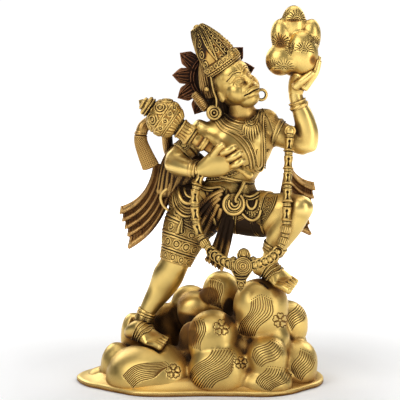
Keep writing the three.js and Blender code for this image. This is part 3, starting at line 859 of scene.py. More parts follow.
def head_matrix():
    """From the upright head to the tilted one."""
    back = -(HEAD_FACE - HEAD_UP * HEAD_FACE.dot(HEAD_UP)).normalized()
    side = back.cross(HEAD_UP).normalized()
    return axes(side, back, HEAD_UP, HEAD_CENTRE)


MOUTH = [(-14, -15.6), (-8, -15.8), (0, -15.2), (8, -15.8), (14, -15.6)]
EYE_SLIT = [(6, 1.6), (10.8, 0.6), (15.6, 1.8)]
BROW = [(2.6, 8), (6, 11.4), (12, 12.6), (19, 9)]
BROW_LINE_LOW = [(3, 14), (8, 17), (14, 17), (21, 12.6)]
BROW_LINE_HIGH = [(6, 19.5), (12, 20.6), (18, 18.6)]
FOREHEAD_SIGN = [(4.6, 27), (4.2, 18.5), (2.4, 16), (0, 15.4)]
FOREHEAD_DROP = [(0, 26), (0, 20)]


def face_worked(places, normals):
    """Lips, eyes, brows, nostrils and the forehead's sign, the same on both sides."""
    x, y, z = places.T
    front = np.clip((-8 - y) / 4, 0, 1) * (normals[:, 1] < 0.1)
    side = np.abs(x)
    upper = ridge(np.hypot(np.maximum(side - 10, 0), z + 11.8 + 0.008 * x**2), 3.2)
    lower = ridge(np.hypot(np.maximum(side - 8, 0), z + 19.2 - 0.006 * x**2), 3.2)
    mouth = stroke(x, z, MOUTH, 1.0)
    eye = np.hypot((side - 10.8) / 6.6, (z - 2.6) / 3.9)
    ball = 1.5 * np.sqrt(np.clip(1 - eye**2, 0, 1)) + 0.9 * ridge(eye - 1.04, 0.2)
    slit = stroke(side, z, EYE_SLIT, 0.9)
    pupil = np.clip(1.2 - np.hypot(side - 10.6, z - 2.9) / 1.5, 0, 1)
    brow = stroke(side, z, BROW, 1.5)
    lines = stroke(side, z, BROW_LINE_LOW, 0.9) + 0.8 * stroke(side, z, BROW_LINE_HIGH, 0.8)
    sign = stroke(side, z, FOREHEAD_SIGN, 1.1)
    drop = stroke(x, z, FOREHEAD_DROP, 1.3)
    nostril = 1.6 * ridge(np.hypot((side - 4.4) / 3.4, (z + 5.6) / 2.6), 1)
    rise = 1.8 * upper + 1.5 * lower + ball + 0.9 * brow + 0.9 * sign + 0.9 * drop + nostril
    return (rise - 1.9 * mouth - 0.6 * slit - 0.4 * pupil - 0.36 * lines) * front


def face():
    """The head's skin with its ears, under the crown."""
    base = fuse([
        blob((0, 3, 8), (26.5, 27.5, 35), around=48, rows=32), blob((0, -15, -12), (18.5, 16, 14)),
        blob((0, -12, -23), (15, 14, 10)), blob((0, 12, -10), (18, 16, 19)),
        blob((-13, -9, -6), (13, 15, 16)), blob((13, -9, -6), (13, 15, 16)), blob((0, -7, 18), (23, 20, 20)),
        tube([[0, -22, 12, 3], [0, -27, 3, 3.6], [0, -30.5, -4, 5.2]], 16, 14),
        blob((-26, 8, -1), (3.4, 6, 9)), blob((26, 8, -1), (3.4, 6, 9)),
    ], voxel=0.85, passes=9)
    refine(base, lambda places: (places[:, 1] < -8) & (places[:, 2] < 29), 1)
    return moved(shift(base, face_worked, True), head_matrix())


CROWN_PROFILE = [
    [0, 24.6], [2, 25.6], [7, 26], [13.5, 25.8], [15, 23.8], [28, 21.8], [42, 18.8], [54, 14.8],
    [62, 11.2], [67, 7.6], [CROWN_TALL, 3.6],
]
CROWN_ROUND = 24
CROWN_ROSETTE = [
    [0, 0], [0, 6.2], [2.4, 6.6], [3.2, 5.8], [2.2, 5], [3.2, 4.2], [2.6, 3.2], [3.9, 2], [4.4, 0],
]


def crown_worked(turn, s):
    """A band of beads and circles below, then a column of rings, pointed arches, scrolls and ribs."""
    a = turn * CROWN_ROUND
    side = np.abs(a)
    c = side / np.interp(s, (0, 14, 28, 42, 54, 66), (1, 1, 0.92, 0.78, 0.6, 0.36))
    band = 1.2 * rings(s, (1.2, 7.2, 14.4), 1.1) + 1.5 * dots(a, s - 4.2, 3.3, 1.5)
    circle = np.hypot(repeat(a, 6.8), s - 10.8)
    band = band + 1.2 * (rings(circle, (2.3,), 0.9) + ridge(circle, 0.9))
    curl = np.hypot(side, repeat(s - 1, 7.6))
    column = 2.2 * ridge(curl - 2.7, 1.1) * (a < 1.6) + 1.8 * ridge(curl, 1.1)
    column = (column + 1.6 * ridge(side - 5.0, 1.0)) * (side < 6.2)
    outer = stroke(c, s, [(9, 68), (19, 17), (33, 68)], 1.9)
    inner = stroke(c, s, [(15.5, 66), (19.8, 26), (26, 66)], 1.4)
    middle = 19 + (s - 17) * 0.04
    wing = np.clip((s - 17) * 0.2, 0, 12)
    between_arches = (np.abs(c - middle) < wing) * (np.abs(c - middle) > wing * 0.45)
    bars = ridge(repeat(s, 4.4), 1.4) * between_arches
    leaf = spiral(c - 12, repeat(s - 22, 12), 1.4, 4.6, 1.1) * (c < middle - wing - 1) * (c > 6.5)
    scrolls = spiral(c - 40, repeat(s - 13, 14), 1.8, 7.4, 1.2) * (c > 33)
    ribs = ridge(repeat(c - 53, 7), 1.9) * (c > 50)
    relief = column + 2.0 * outer + 1.5 * inner + 1.2 * bars + 1.2 * leaf + 1.6 * scrolls + 1.4 * ribs
    return np.where(s < CROWN_BAND, band, relief * (s > CROWN_BAND) * (s < 67))


def crown():
    """The tall leaning crown, with rosettes over the brow and a knob on top."""
    stations = [[CROWN_LEAN * s / CROWN_TALL, 2, CROWN_BRIM + s, r, r] for s, r in CROWN_PROFILE]
    shapes = [tube(stations, 280, 150, relief=crown_worked, dome=0.6, caps=5)]
    z = CROWN_BRIM + 11
    rosette = smooth_profile(CROWN_ROSETTE, 40)
    shapes.append(turned(rosette, (0, -22.5, z), (0, -27, z + 0.4), 48,
                         lambda turn, s, r: 0.6 * flutes(turn, 12, 0.4) * (r > 4.6)))
    for side in (-1, 1):
        shapes.append(turned(rosette * 0.55, (side * 8.4, -22, z - 1), (side * 9.4, -25, z - 1), 30))
        shapes.append(turned(rosette * 0.5, (side * 14, -19.4, z - 1), (side * 16, -22, z - 1), 30))
    shapes.append(blob((CROWN_LEAN, 2, CROWN_BRIM + CROWN_TALL + 0.5), (4.4, 4.4, 3)))
    return moved(gather(shapes), head_matrix())


# Halo

HALO_CENTRE = np.array((19.0, 24.0, 419.0))
HALO_RADIUS = 58
HALO_PETALS = 11
HALO_THICK = 4
HALO_FIRST = math.radians(177)


def halo():
    """A flat halo of pointed petals behind the head, and the stub that holds it."""
    inner = HALO_RADIUS * 0.56

    def place(u, v):
        turn = u * TURN
        step = (turn - HALO_FIRST) / TURN * HALO_PETALS
        off_middle = np.abs(step - np.rint(step))
        edge = np.interp(off_middle, (0, 0.06, 0.2, 0.4, 0.5), (1, 0.96, 0.9, 0.82, 0.68)) * HALO_RADIUS
        back = v > 0.5
        share = np.where(back, 2 - 2 * v, 2 * v)
        r = edge * share
        out = np.clip((r - inner) / (edge - inner), 0, 1)
        half = off_middle * TURN / HALO_PETALS * r
        wide = 9.5 * np.sqrt(np.clip(1 - out**1.6, 0, 1))
        leaf = 1.5 * ridge(half - wide, 1.4) + 1.1 * ridge(half - wide * 0.55, 1.0) * (out < 0.75)
        vein = 1.2 * ridge(half, 0.9) * (out < 0.7)
        disc = 1.8 * rings(r, (inner - 1, inner - 5), 1.3)
        lift = np.where(back, 0, ((leaf + vein) * (r > inner + 1) + disc) * (share < 0.985))
        y = HALO_CENTRE[1] + np.where(back, HALO_THICK, 0) - lift
        y = np.where(share > 0.985, HALO_CENTRE[1] + HALO_THICK / 2 + np.where(back, 1, -1), y)
        return np.stack([HALO_CENTRE[0] + np.cos(turn) * r, y, HALO_CENTRE[2] + np.sin(turn) * r], axis=1)

    plate = close(sheet(330, 120, place))
    x, y, z = (spots(plate) - HALO_CENTRE).T
    note_cuts_and_darkening(plate, 0.2 * (np.hypot(x, z) < inner - 6.5) * (y < 1))
    stem = tube([[34, 2, 416, 15], [26, 25, 418, 14]], 24, 10, front=UP)
    return gather([plate, stem])


# Earrings, strap and lock of hair

def earrings():
    """Both hoops, the knob over the near one and the strap beside the cheek."""
    near = hoop((19, -15, 374), (0.2, -1, 0.1), 8.4, 2.6, 64, 16)
    near_in = hoop((19, -17, 374), (0.2, -1, 0.1), 4.6, 1.3, 40, 12)
    bead = blob((19, -16, 374), (2, 2, 2), around=14, rows=10)
    far = hoop((83, -10, 398), (0.25, -1, 0.0), 6.9, 2.2, 56, 14)
    knob = blob((9.6, -15, 406), (3.6, 3.6, 3.6), around=20, rows=14)
    strap = tube([
        [17, -8, 441, 1.2], [15, -14, 432, 1.3], [15.4, -18, 420, 1.3], [18.4, -20, 404, 1.3],
        [22, -20, 393, 1.3], [22, -17.5, 382, 1.2],
    ], 12, 60)
    return gather([near, near_in, bead, far, knob, strap])


def lock():
    """The hair at the nape and the temple, and the coil that ends it."""
    def strands(turn, run):
        return 1.1 * flutes(turn, 18, 0.42, 0.25 * np.sin(run * 0.22))

    def coiled(turn, run):
        return 0.9 * ridge(repeat(run + turn * 0.6, 2.6), 1.0)

    nape = tube([[24, 8, 404, 12, 9], [25, 8, 388, 13, 9], [26, 6, 368, 14, 9]], 80, 50, relief=strands)
    hair = tube([[10, 8, 446, 8, 10], [8, 5, 430, 9, 11], [9, 4, 412, 9, 11], [14, 4, 394, 10, 10]],
                80, 60, relief=strands)
    coil = tube([[-7, -2, 398, 5, 5], [1, -6, 389, 6.4, 6], [9, -8, 379, 6, 5]], 40, 60, relief=coiled)
    return gather([nape, hair, coil])


# Mountain

# Centre, half sizes and lean in degrees
MOUNTAIN = [
    ((126, -12, 494), (17, 15, 25), 0), ((110, -13, 476), (15, 15, 25), -6),
    ((149, -12, 476), (14, 14, 25), 4), ((138, -22, 455), (21, 19, 31), -8),
    ((109, -17, 446), (21, 19, 22), 16), ((143, -10, 444), (14, 18, 20), 0),
    ((122, -20, 446), (18, 16, 17), 0), ((126, 0, 460), (26, 15, 38), 0),
]
# Patches of painted shade on the peaks.
PEAK_SHADE_PATCHES = [(109, 469, 10, 13), (91, 438, 9, 9), (104, 427, 13, 6), (153, 444, 7, 10), (126, 498, 13, 4)]
# Place on the front plane, radius and lean in degrees
LEAF_FANS = [
    (131, 497, 15, 0), (116, 503, 10, -35), (108, 464, 17, -6), (141, 455, 15, 6),
    (126, 458, 10, -75), (114, 431, 15, 0), (99, 434, 11, -40), (154, 467, 10, 20),
]


def leaf_fan(x, z, radius, lean, count=11, spread=1.2):
    """Engraved lines opening upwards from small nested arcs."""
    lines = []
    for i in range(count):
        side = 2 * i / (count - 1) - 1
        line = []
        for share in (0.5, 0.66, 0.83, 1.0):
            turn = lean + spread * side + 0.3 * side * share**2
            reach = radius * share * (1 - 0.12 * abs(side))
            line.append((x + reach * math.sin(turn), z + reach * math.cos(turn)))
        lines.append(line)
    for share in (0.18, 0.34):
        turns = [lean + 1.4 * (i / 5 - 1) for i in range(11)]
        lines.append([(x + radius * share * math.sin(k), z + radius * share * math.cos(k)) for k in turns])
    return lines


def mountain():
    """Rounded peaks grown into one, with engraved fans of leaves."""
    peaks = [blob(centre, half, (0, tilt, 0), 40, 28) for centre, half, tilt in MOUNTAIN]
    bm = fuse(peaks, voxel=1.25, passes=13)
    lines = []
    for x, z, radius, lean in LEAF_FANS:
        lines += leaf_fan(x, z, radius, math.radians(lean))
    # Painted shade on the shaded lobes of the peaks.
    return paint_shade(carve(bm, lines, width=0.62, deep=0.75, cuts=2), PEAK_SHADE_PATCHES, deep=0.35)


# Tail

TAIL = [
    [26, 22, 240, 8, 8], [8, 34, 262, 7.5, 7.5], [-22, 32, 290, 7, 7], [-42, 24, 316, 7, 7],
    [-47, 8, 348, 7.4, 7.4], [-62, -7, 362, 8, 7.6], [-75, -13, 356, 8, 7.6], [-80, -14, 346, 7.6, 7.4],
]
TUFT = [
    [-80, -14, 349, 7.8, 7.4], [-80, -14, 334, 8.6, 7.2], [-74, -14, 317, 10, 6], [-67, -14, 301, 11.4, 5],
]


def tail():
    """The tail, which loops up behind the lowered arm, and its hatched tuft."""
    def fur(turn, run):
        return 0.35 * flutes(turn, 14, 0.4, 0.3 * np.sin(run * 0.4))

    def hatch(turn, run):
        cross = [flutes(turn, 19, 0.3, lean * run / 3.4) for lean in (-1, 1)]
        hem = ridge(run - 3, 1.8) + ridge(run - 7, 1.2)
        return 0.65 * np.maximum(*cross) * (run > 8) + 1.2 * hem

    return gather([
        tube(TAIL, 72, 230, relief=fur),
        tube(TUFT, 200, 130, relief=hatch, dome=0.25),
    ])


# Scarves

SCARF_THICK = 3


def scarf(root_top, root_low, hem_top, hem_low, pleats, belly, low_share):
    """A pleated end of cloth. Belly is how far it bows out, low_share how much its lower edge does."""
    corners = [np.array(corner, float) for corner in (root_top, root_low, hem_top, hem_low, belly)]
    root_top, root_low, hem_top, hem_low, belly = corners

    def place(u, v):
        u, v = u[:, None], v[:, None]
        root = root_top * (1 - u) + root_low * u
        hem = hem_top * (1 - u) + hem_low * u
        phase = u * pleats + 0.06 * np.sin(v * 5)
        fold = -np.cos(TURN * phase)
        point = root * (1 - v) + hem * v + belly * (4 * v * (1 - v) * (1 - (1 - low_share) * u))
        point = point + unit(hem - root) * (v**3 * fold * 2.2 + 9 * v**2 * np.clip(u - 0.75, 0, 1) / 0.25)
        threads = 0.55 * stripes(phase * 7, 0.34)
        rows = 0.7 * ridge(repeat(v * 46, 2), 0.5) * (v > 0.82) * stripes(phase * 16, 0.42)
        edge = ridge(v - 0.975, 0.014) + ridge(v - 0.8, 0.01)
        point[:, 1:2] -= sharpened(fold) * (1.1 + 2.2 * v) + threads * (v < 0.8) + rows + edge
        return point

    return slab(180, 100, SCARF_THICK, place)


def scarves():
    """Both scarves, blown out behind the hips."""
    left = scarf((-64, 8, 303), (-34, 12, 298), (-111, 4, 241), (-94, 0, 190), 5, (9, 0, -9), 1.5)
    right = scarf((122, -2, 332), (104, -12, 236), (158, 2, 275), (146, 2, 206), 6, (-12, 0, -10), 0.2)
    return gather([left, right])


# A patch of painted shade on the cloth behind the lowered arm.
SIDE_SHADE_PATCHES = [(-46, 286, 18, 30)]


def side_cloth():
    """The gathered cloth that falls behind the lowered arm."""
    fall = tube([[-6, 16, 340, 10, 5], [-36, 10, 306, 14, 6], [-44, 9, 262, 18, 6]], 90, 60,
                relief=lambda turn, run: flutes(turn, 16, 0.4))
    behind = tube([[-6, 12, 312, 16, 7], [-20, 12, 288, 25, 9], [-32, 10, 262, 22, 8]], 90, 50,
                  relief=lambda turn, run: 1.2 * flutes(turn, 15, 0.4))
    return gather([fall, behind])


# Garland

GARLAND_RIGHT = [
    (120, -10, 347), (121, -26, 350), (119.6, -36, 330), (118, -46, 300), (116.8, -58, 280),
    (116.4, -66, 262), (115.2, -70, 243), (114.5, -71, 224), (111, -71, 207), (104, -73, 196),
    (92, -75, 185), (76, -76, 179), (70, -76, 177),
]
GARLAND_LEFT = [
    (48, -76, 177), (40, -75, 179), (28, -71, 184), (14, -62, 194), (4, -54, 206),
    (-3.4, -49, 223), (-6.3, -49, 243), (-6.7, -52, 260), (-5, -56, 277), (2, -53, 298),
]
STRING_STEPS = 399
BEAD = [
    [0, 0, 11, 4.4], [0, 0, 8.4, 5.9], [0, 0, 4, 5.9], [0, 0, -1, 5.2], [0, 0, -6, 5.8],
    [0, 0, -9.5, 6.6], [0, 0, -11, 5.0],
]
BARREL = [[0, 0, 6.4, 4.6], [0, 0, 3.4, 6.2], [0, 0, -3.4, 6.2], [0, 0, -6.4, 4.6]]
BEAD_DISC = [
    [0, 0], [0, 4.6], [0.6, 5.8], [1.6, 5.8], [2.2, 4.8], [2.8, 5.6], [3.8, 5.6], [4.4, 4.4], [4.4, 0],
]
CUP = [
    [0, 0], [0, 6.8], [1.4, 8.0], [3.2, 7.6], [4.4, 6.4], [3.8, 5.6], [2.4, 5.0], [3.4, 4.2], [4.8, 2.4],
    [5.4, 0],
]
CUPS = 6
CUP_PITCH = 7.1
ROSE = [
    [0, 0], [0, 11.6], [4, 12.2], [5.2, 11.2], [4.2, 10.2], [5.4, 9.2], [5.6, 8.2], [4.7, 7.2], [5.8, 6.2],
    [5, 5.2], [6.4, 3.4], [5.6, 2.2], [6.9, 1.2], [7, 0],
]
PENDANT_Y = -78


def keyhole(turn, run):
    """A round hole over a slot that widens downwards, between a bead's two collars."""
    a = turn * 5.8
    slot = 1.0 + 1.8 * np.clip((run - 11) / 7, 0, 1)
    flare = np.clip((slot - np.abs(a)) / 0.7, 0, 1) * (run > 6) * (run < 18)
    hole = np.clip((2.3 - np.hypot(a, run - 6.4)) / 0.8, 0, 1)
    collars = ridge(run - 1.8, 1.2) + 1.3 * ridge(run - 20.4, 1.4)
    return 0.8 * collars - 2.3 * np.maximum(flare, hole)


def ribbed(turn, run):
    """Ribs round the middle of a barrel."""
    return 0.9 * flutes(turn, 14, 0.4) * (run > 2) * (run < 10.8)


def strings():
    """Both arms of the garland: cords with long beads, barrels near the pendant, and discs between."""
    bead = tube(BEAD, 60, 64, relief=keyhole)
    barrel = tube(BARREL, 60, 30, relief=ribbed)
    disc = turned(BEAD_DISC, (0, 0, 2.2), (0, 0, -2.2), 26)
    shapes = []
    for points, count, start, stop, main, own_length in (
        (GARLAND_RIGHT, 6, 0.02, 0.66, bead, 27), (GARLAND_RIGHT, 2, 0.66, 0.8, barrel, 17),
        (GARLAND_LEFT[::-1], 4, 0.0, 0.62, bead, 27), (GARLAND_LEFT[::-1], 1, 0.62, 0.72, barrel, 17),
    ):
        line = smooth_path(points, STRING_STEPS + 1)
        first, last = int(start * STRING_STEPS), int(stop * STRING_STEPS)
        shapes.append(tube([[*p, 2.4] for p in line[first:last:12, :3]], 10, 80))
        along, side, depth = frames(line, FRONT)
        gap = length_of(line) / STRING_STEPS * (last - first) / count
        for i in range(count):
            for shape, share, stretch in ((main, 0.4, gap / own_length), (disc, 0.9, 1.0)):
                k = min(first + int((i + share) * (last - first) / count), STRING_STEPS)
                here = axes(side[k], depth[k], -along[k], Vector(line[k, :3]))
                here = here @ Matrix.Rotation(math.pi, 4, "Z") @ Matrix.Diagonal((1, 1, stretch, 1))
                shapes.append(moved(shape.copy(), here))
    for shape in (bead, disc, barrel):
        shape.free()
    return shapes


def cups():
    """Shallow cups, one over the next, from each string down to the pendant."""
    profile = smooth_profile(CUP, 40)
    shapes = []
    for points, side in ((GARLAND_LEFT, -1), (GARLAND_RIGHT[::-1], 1)):
        line = smooth_path(points, 200)
        facing = unit(np.array((0.55 * side, -1, -0.1)))
        for i in range(CUPS):
            k = int((3 + i * CUP_PITCH) / length_of(line) * 199)
            centre = line[k] + np.array((0, 1.0 * i - 4, -1.5))
            shapes.append(turned(profile, centre + np.array((0, 3, 0)), centre + facing * 3, 36))
    return shapes


def pendant():
    """A rosette between three petals, with a long tongue below."""
    rose = turned(smooth_profile(ROSE, 80), (57, PENDANT_Y - 1, 175.5), (57, PENDANT_Y - 7, 175.5), 96,
                  lambda turn, s, r: 0.6 * flutes(turn, 18, 0.42) * ridge(r - 6.8, 2.4))

    def petal(x, z, wide, tall):
        def plan(u, v):
            half = wide * np.interp(v, (0, 0.2, 0.45, 0.8, 0.94, 1), (0.66, 0.9, 1, 0.72, 0.4, 0.06))
            across = (u - 0.5) * 2 * half
            edge = 1 - np.abs(2 * u - 1)
            rise = 3 + 0.9 * np.sin(math.pi * np.clip(u, 0, 1)) * np.sin(math.pi * np.clip(v, 0, 1)) ** 0.5
            lines = 1.1 * ridge(edge - 0.1, 0.13) + 0.9 * ridge(edge - 0.42, 0.12)
            knob = 1.2 * ridge(np.hypot(across, (v - 0.42) * tall), 2.4)
            return np.stack([x + across, PENDANT_Y + 1.5 - rise - lines - knob, z + v * tall], axis=1)

        return slab(40, 40, 4, plan)

    def tongue(u, v):
        half = np.interp(v, (0, 0.12, 0.5, 0.6, 0.72, 0.9, 1), (15, 14, 7, 7.6, 6.4, 3, 0.5))
        x = 56 - 2 * v + (u - 0.5) * 2 * half
        z = 171 - 31 * v
        edge = 1 - np.abs(2 * u - 1)
        bow = np.hypot((x - 56) * 0.75, z - 176)
        knob = np.hypot(x - 55, z - 149)
        mark = rings(bow, (14, 17.6, 21.5), 1.3) * (edge > 0.24) + ridge(edge - 0.12, 0.12)
        mark += 1.2 * ridge(knob, 2.6) + 0.8 * ridge(knob - 4.2, 0.9)
        return np.stack([x, PENDANT_Y + 1.5 - mark, z], axis=1)

    petals = [petal(58.3, 182, 9.6, 17), petal(44.6, 169, 7.6, 19), petal(71, 169, 7.6, 19)]
    return [rose, *petals, slab(60, 70, 4.5, tongue)]


def garland():
    """The long garland with its pendant."""
    return gather(strings() + cups() + pendant())


# Dress

CLOTH = 1.8
SLEEVE_ROUND = 28
SLEEVE_LINES = (20, 23.6, 40, 43.6, 58, 61.6, 77, 80.6, 93.4)
SLEEVE_CIRCLES = ((31.7, 5.6), (50.6, 5.2), (69, 6.0), (87, 5.0))
# Patches of painted shade on the hip cloth.
DRESS_SHADE_PATCHES = [
    (27, 232, 24, 32), (68, 214, 26, 14), (70, 249, 10, 10), (-20, 268, 16, 12), (4, 238, 20, 26),
    (92, 232, 14, 18),
]


def lifted(stations, by):
    """A limb's stations, wider and deeper by so much."""
    return [[x, y, z, a + by, b + by] for x, y, z, a, b in stations]


def dress(plain=False):
    """The cloth round the hips and thighs. Plain leaves its relief out."""
    deep = 0.0 if plain else 1.0

    def back_bands(turn, run):
        a = turn * SLEEVE_ROUND
        lines = 1.1 * rings(run, SLEEVE_LINES, 1.2)
        for middle, size in SLEEVE_CIRCLES:
            far = np.hypot(repeat(a, TURN * SLEEVE_ROUND / 12), run - middle)
            lines = lines + 0.7 * rings(far, (size * 0.34, size * 0.9), 1.0) + 0.8 * ridge(far, 1.2)
            hatch = ridge(repeat(a + (run - middle) * 0.7, 2.2), 0.8)
            lines = lines + 0.3 * hatch * (far > size + 0.8) * (np.abs(run - middle) < 7)
        return lines * deep

    def front_bands(turn, run):
        hatch = ridge(repeat(turn * SLEEVE_ROUND + run * 0.5, 2.6), 1.0)
        return (0.9 * rings(run, (8, 11.4, 40, 43.4), 1.1) + 0.35 * hatch) * deep

    def draped(ball):
        x, _, z = ball.T
        fold = ridge(repeat(z - 0.35 * x**2 + 0.1 * x, 0.15), 0.06)
        return ball * (1 + 0.032 * fold * deep)[:, None]

    sleeve_back = tube(lifted(LEG_BACK, CLOTH)[:5], 220, 130, relief=back_bands, dome=0.1)
    sleeve_front = tube(lifted(THIGH_FRONT, CLOTH)[:3], 180, 80, relief=front_bands, dome=0.1)
    hips = blob((-14, 2, 248), (29, 23, 26), around=140, rows=110, shape=draped)
    seat_cloth = tube([
        [34, 3, 226, 32, 27], [37, 1, 246, 44, 31.5], [40, 0, 262, 42, 30.5], [42, -1, 276, 34, 25.5],
    ], 190, 60, relief=lambda turn, run: 0.4 * deep * flutes(turn, 26, 0.36, run * 0.05))
    return gather([sleeve_back, sleeve_front, hips, seat_cloth])


# Folds, sash end and swags: lines are (x, z) on the front plane. A cord has its thickness and how far
# it stands off the body, a row of beads their radius and pitch, a tassel its thickness at both ends

BELT_FOLDS = (
    ([(30.1, 265.9), (19.1, 260.4), (8.9, 252.8), (0.0, 243.8), (-6.8, 236.2)], 2.7, 4.0),
    ([(28.7, 261.1), (19.1, 254.2), (8.9, 244.5), (0.0, 233.4), (-5.5, 223.7)], 2.7, 3.2),
    ([(26.0, 254.9), (17.8, 246.6), (10.3, 236.2), (4.1, 225.1), (-2.7, 212.6)], 3.2, 2.2),
    ([(24.6, 245.9), (19.8, 237.6), (15.0, 226.5), (9.6, 215.4), (4.1, 205.6)], 3.4, 1.6),
    ([(28.7, 240.3), (26.0, 230.6), (21.9, 220.9), (16.4, 209.8)], 3.2, 1.0),
)
FOLD_FULLNESS = 1.1
# Patches of painted shade on the folds and the sash end between the thighs.
FOLD_SHADE_PATCHES = [(20, 218, 17, 24), (40, 216, 22, 26), (11, 240, 20, 24)]
SASH_PLEATS = 3
SWAGS = (
    ([(-45.1, 270.7), (-52.7, 263.8), (-53.6, 256.9), (-50.6, 248.6), (-43.8, 241.7)], 1.9, 0.8),
    ([(-28.7, 270.7), (-28.7, 261.1), (-24.6, 252.1), (-17.8, 247.5), (-8.2, 247.8)], 2.7, 4.2),
    ([(-21.9, 269.4), (-20.5, 262.5), (-16.4, 256.9), (-8.2, 255.6)], 1.6, 3.2),
    ([(58.8, 259.0), (67.0, 256.9), (73.9, 258.3), (79.3, 261.8)], 2.2, 2.6),
    ([(59.5, 254.7), (67.0, 252.8), (74.5, 254.2), (80.0, 257.6)], 1.2, 2.0),
    ([(64.0, 251.4), (65.4, 243.8), (70.4, 239.5), (75.9, 243.1), (78.0, 252.1)], 1.9, 2.8),
    ([(58.8, 233.4), (65.0, 227.0), (72.5, 224.3), (80.0, 228.4), (83.4, 237.6)], 1.9, 3.0),
    ([(0.0, 272.8), (8.2, 269.9), (17.8, 269.4), (26.0, 270.7), (32.8, 267.2)], 2.2, 2.2),
    ([(1.4, 268.5), (9.6, 265.8), (17.8, 265.5)], 1.3, 1.8),
)
SWAG_BEADS = (
    ([(-32.1, 258.3), (-29.0, 248.6), (-21.9, 241.7), (-13.0, 239.2)], 1.1, 2.7),
    ([(30.6, 263.0), (20.0, 256.9), (9.6, 248.6), (1.4, 238.4)], 1.0, 2.4),
    ([(60.2, 241.2), (65.1, 234.8), (71.9, 231.7), (79.0, 235.6), (82.1, 243.7)], 1.7, 3.8),
)
CRESCENT_OUTER = [
    (-36.2, 266.6), (-39.4, 252.8), (-36.4, 241.7), (-28.7, 232.6), (-20.5, 228.4), (-8.2, 229.2),
]
CRESCENT_INNER = [
    (-30.1, 266.6), (-27.9, 258.3), (-24.1, 250.0), (-18.3, 245.3), (-15.0, 244.5), (-7.7, 244.5),
]
MEDALLION = (46.5, 247.0)
MEDALLION_RADIUS = 14.4
# Radius, start and end in degrees, thickness and how far it stands off the body
MEDALLION_ARCS = (
    (MEDALLION_RADIUS, -150, 150, 2.2, 4.6), (11.6, -135, 140, 0.9, 4.4),
    (8.6, -120, 150, 1.7, 4.8), (5.2, -95, 160, 1.5, 5.4),
)
TWIST = [
    (59.5, 276.3), (57.4, 270.1), (53.9, 263.3), (50.1, 257.8), (48.1, 252.8), (49.8, 248.6), (52.8, 250.6),
]
BORDER_LEFT = [(86.7, 256.9), (83.4, 245.9), (80.7, 233.4), (77.3, 220.9)]
BORDER_RIGHT = [(106.1, 259.7), (101.2, 244.5), (93.0, 229.2), (84.8, 216.8)]
TASSELS = (
    ([(-24.6, 227.2), (-27.4, 218.1), (-30.9, 208.4)], 1.0, 3.4),
    ([(-24.1, 223.7), (-24.9, 215.4), (-25.4, 208.4)], 0.8, 1.7),
    ([(15.7, 234.8), (18.5, 227.2), (21.3, 220.2)], 1.0, 2.8),
)


def folds(trees):
    """Twisted folds that fall from the belt."""
    shapes = []
    for line, wire, lift in BELT_FOLDS:
        shapes.append(chain(trees, line, wire * FOLD_FULLNESS, lift, taper=0.8, twist=0.22))
    return gather(shapes)


def sash_end():
    """The pleated end that hangs between the thighs."""
    def pleated(u, v):
        u, v = u[:, None], v[:, None]
        high = mix((31, -27, 242), (49, -29, 240), u)
        middle = mix((24, -34, 206), (46, -36, 204), u)
        low = mix((6, -36, 173), (31, -36, 157), u)
        point = high * (1 - v) ** 2 + 2 * middle * v * (1 - v) + low * v**2
        phase = u * SASH_PLEATS + 0.12 * np.sin(v * 5)
        lines = 0.45 * stripes(phase * 5, 0.34) * (v < 0.84)
        hem = 0.9 * (ridge(v - 0.86, 0.02) + ridge(v - 0.95, 0.02))
        hem = hem + 0.6 * stripes(u * 14, 0.4) * (v > 0.89) * (v < 0.93)
        point[:, 1:2] += sharpened(np.cos(TURN * phase)) * (1.4 + 1.4 * v) - lines - hem
        point[:, 2:3] += np.abs(np.cos(TURN * u * SASH_PLEATS)) * 3.0 * v**6
        return point

    return slab(170, 110, 3.5, pleated)


def between(upper, lower, count=300):
    """A plan for drape: v runs from one line to another, u along them both."""
    lines = [smooth_path(line, count) for line in (upper, lower)]

    def place(u, v):
        k = np.rint(u * (count - 1)).astype(int)
        a, b = (lines[0][k] * (1 - v[:, None]) + lines[1][k] * v[:, None]).T
        return a, b

    return place


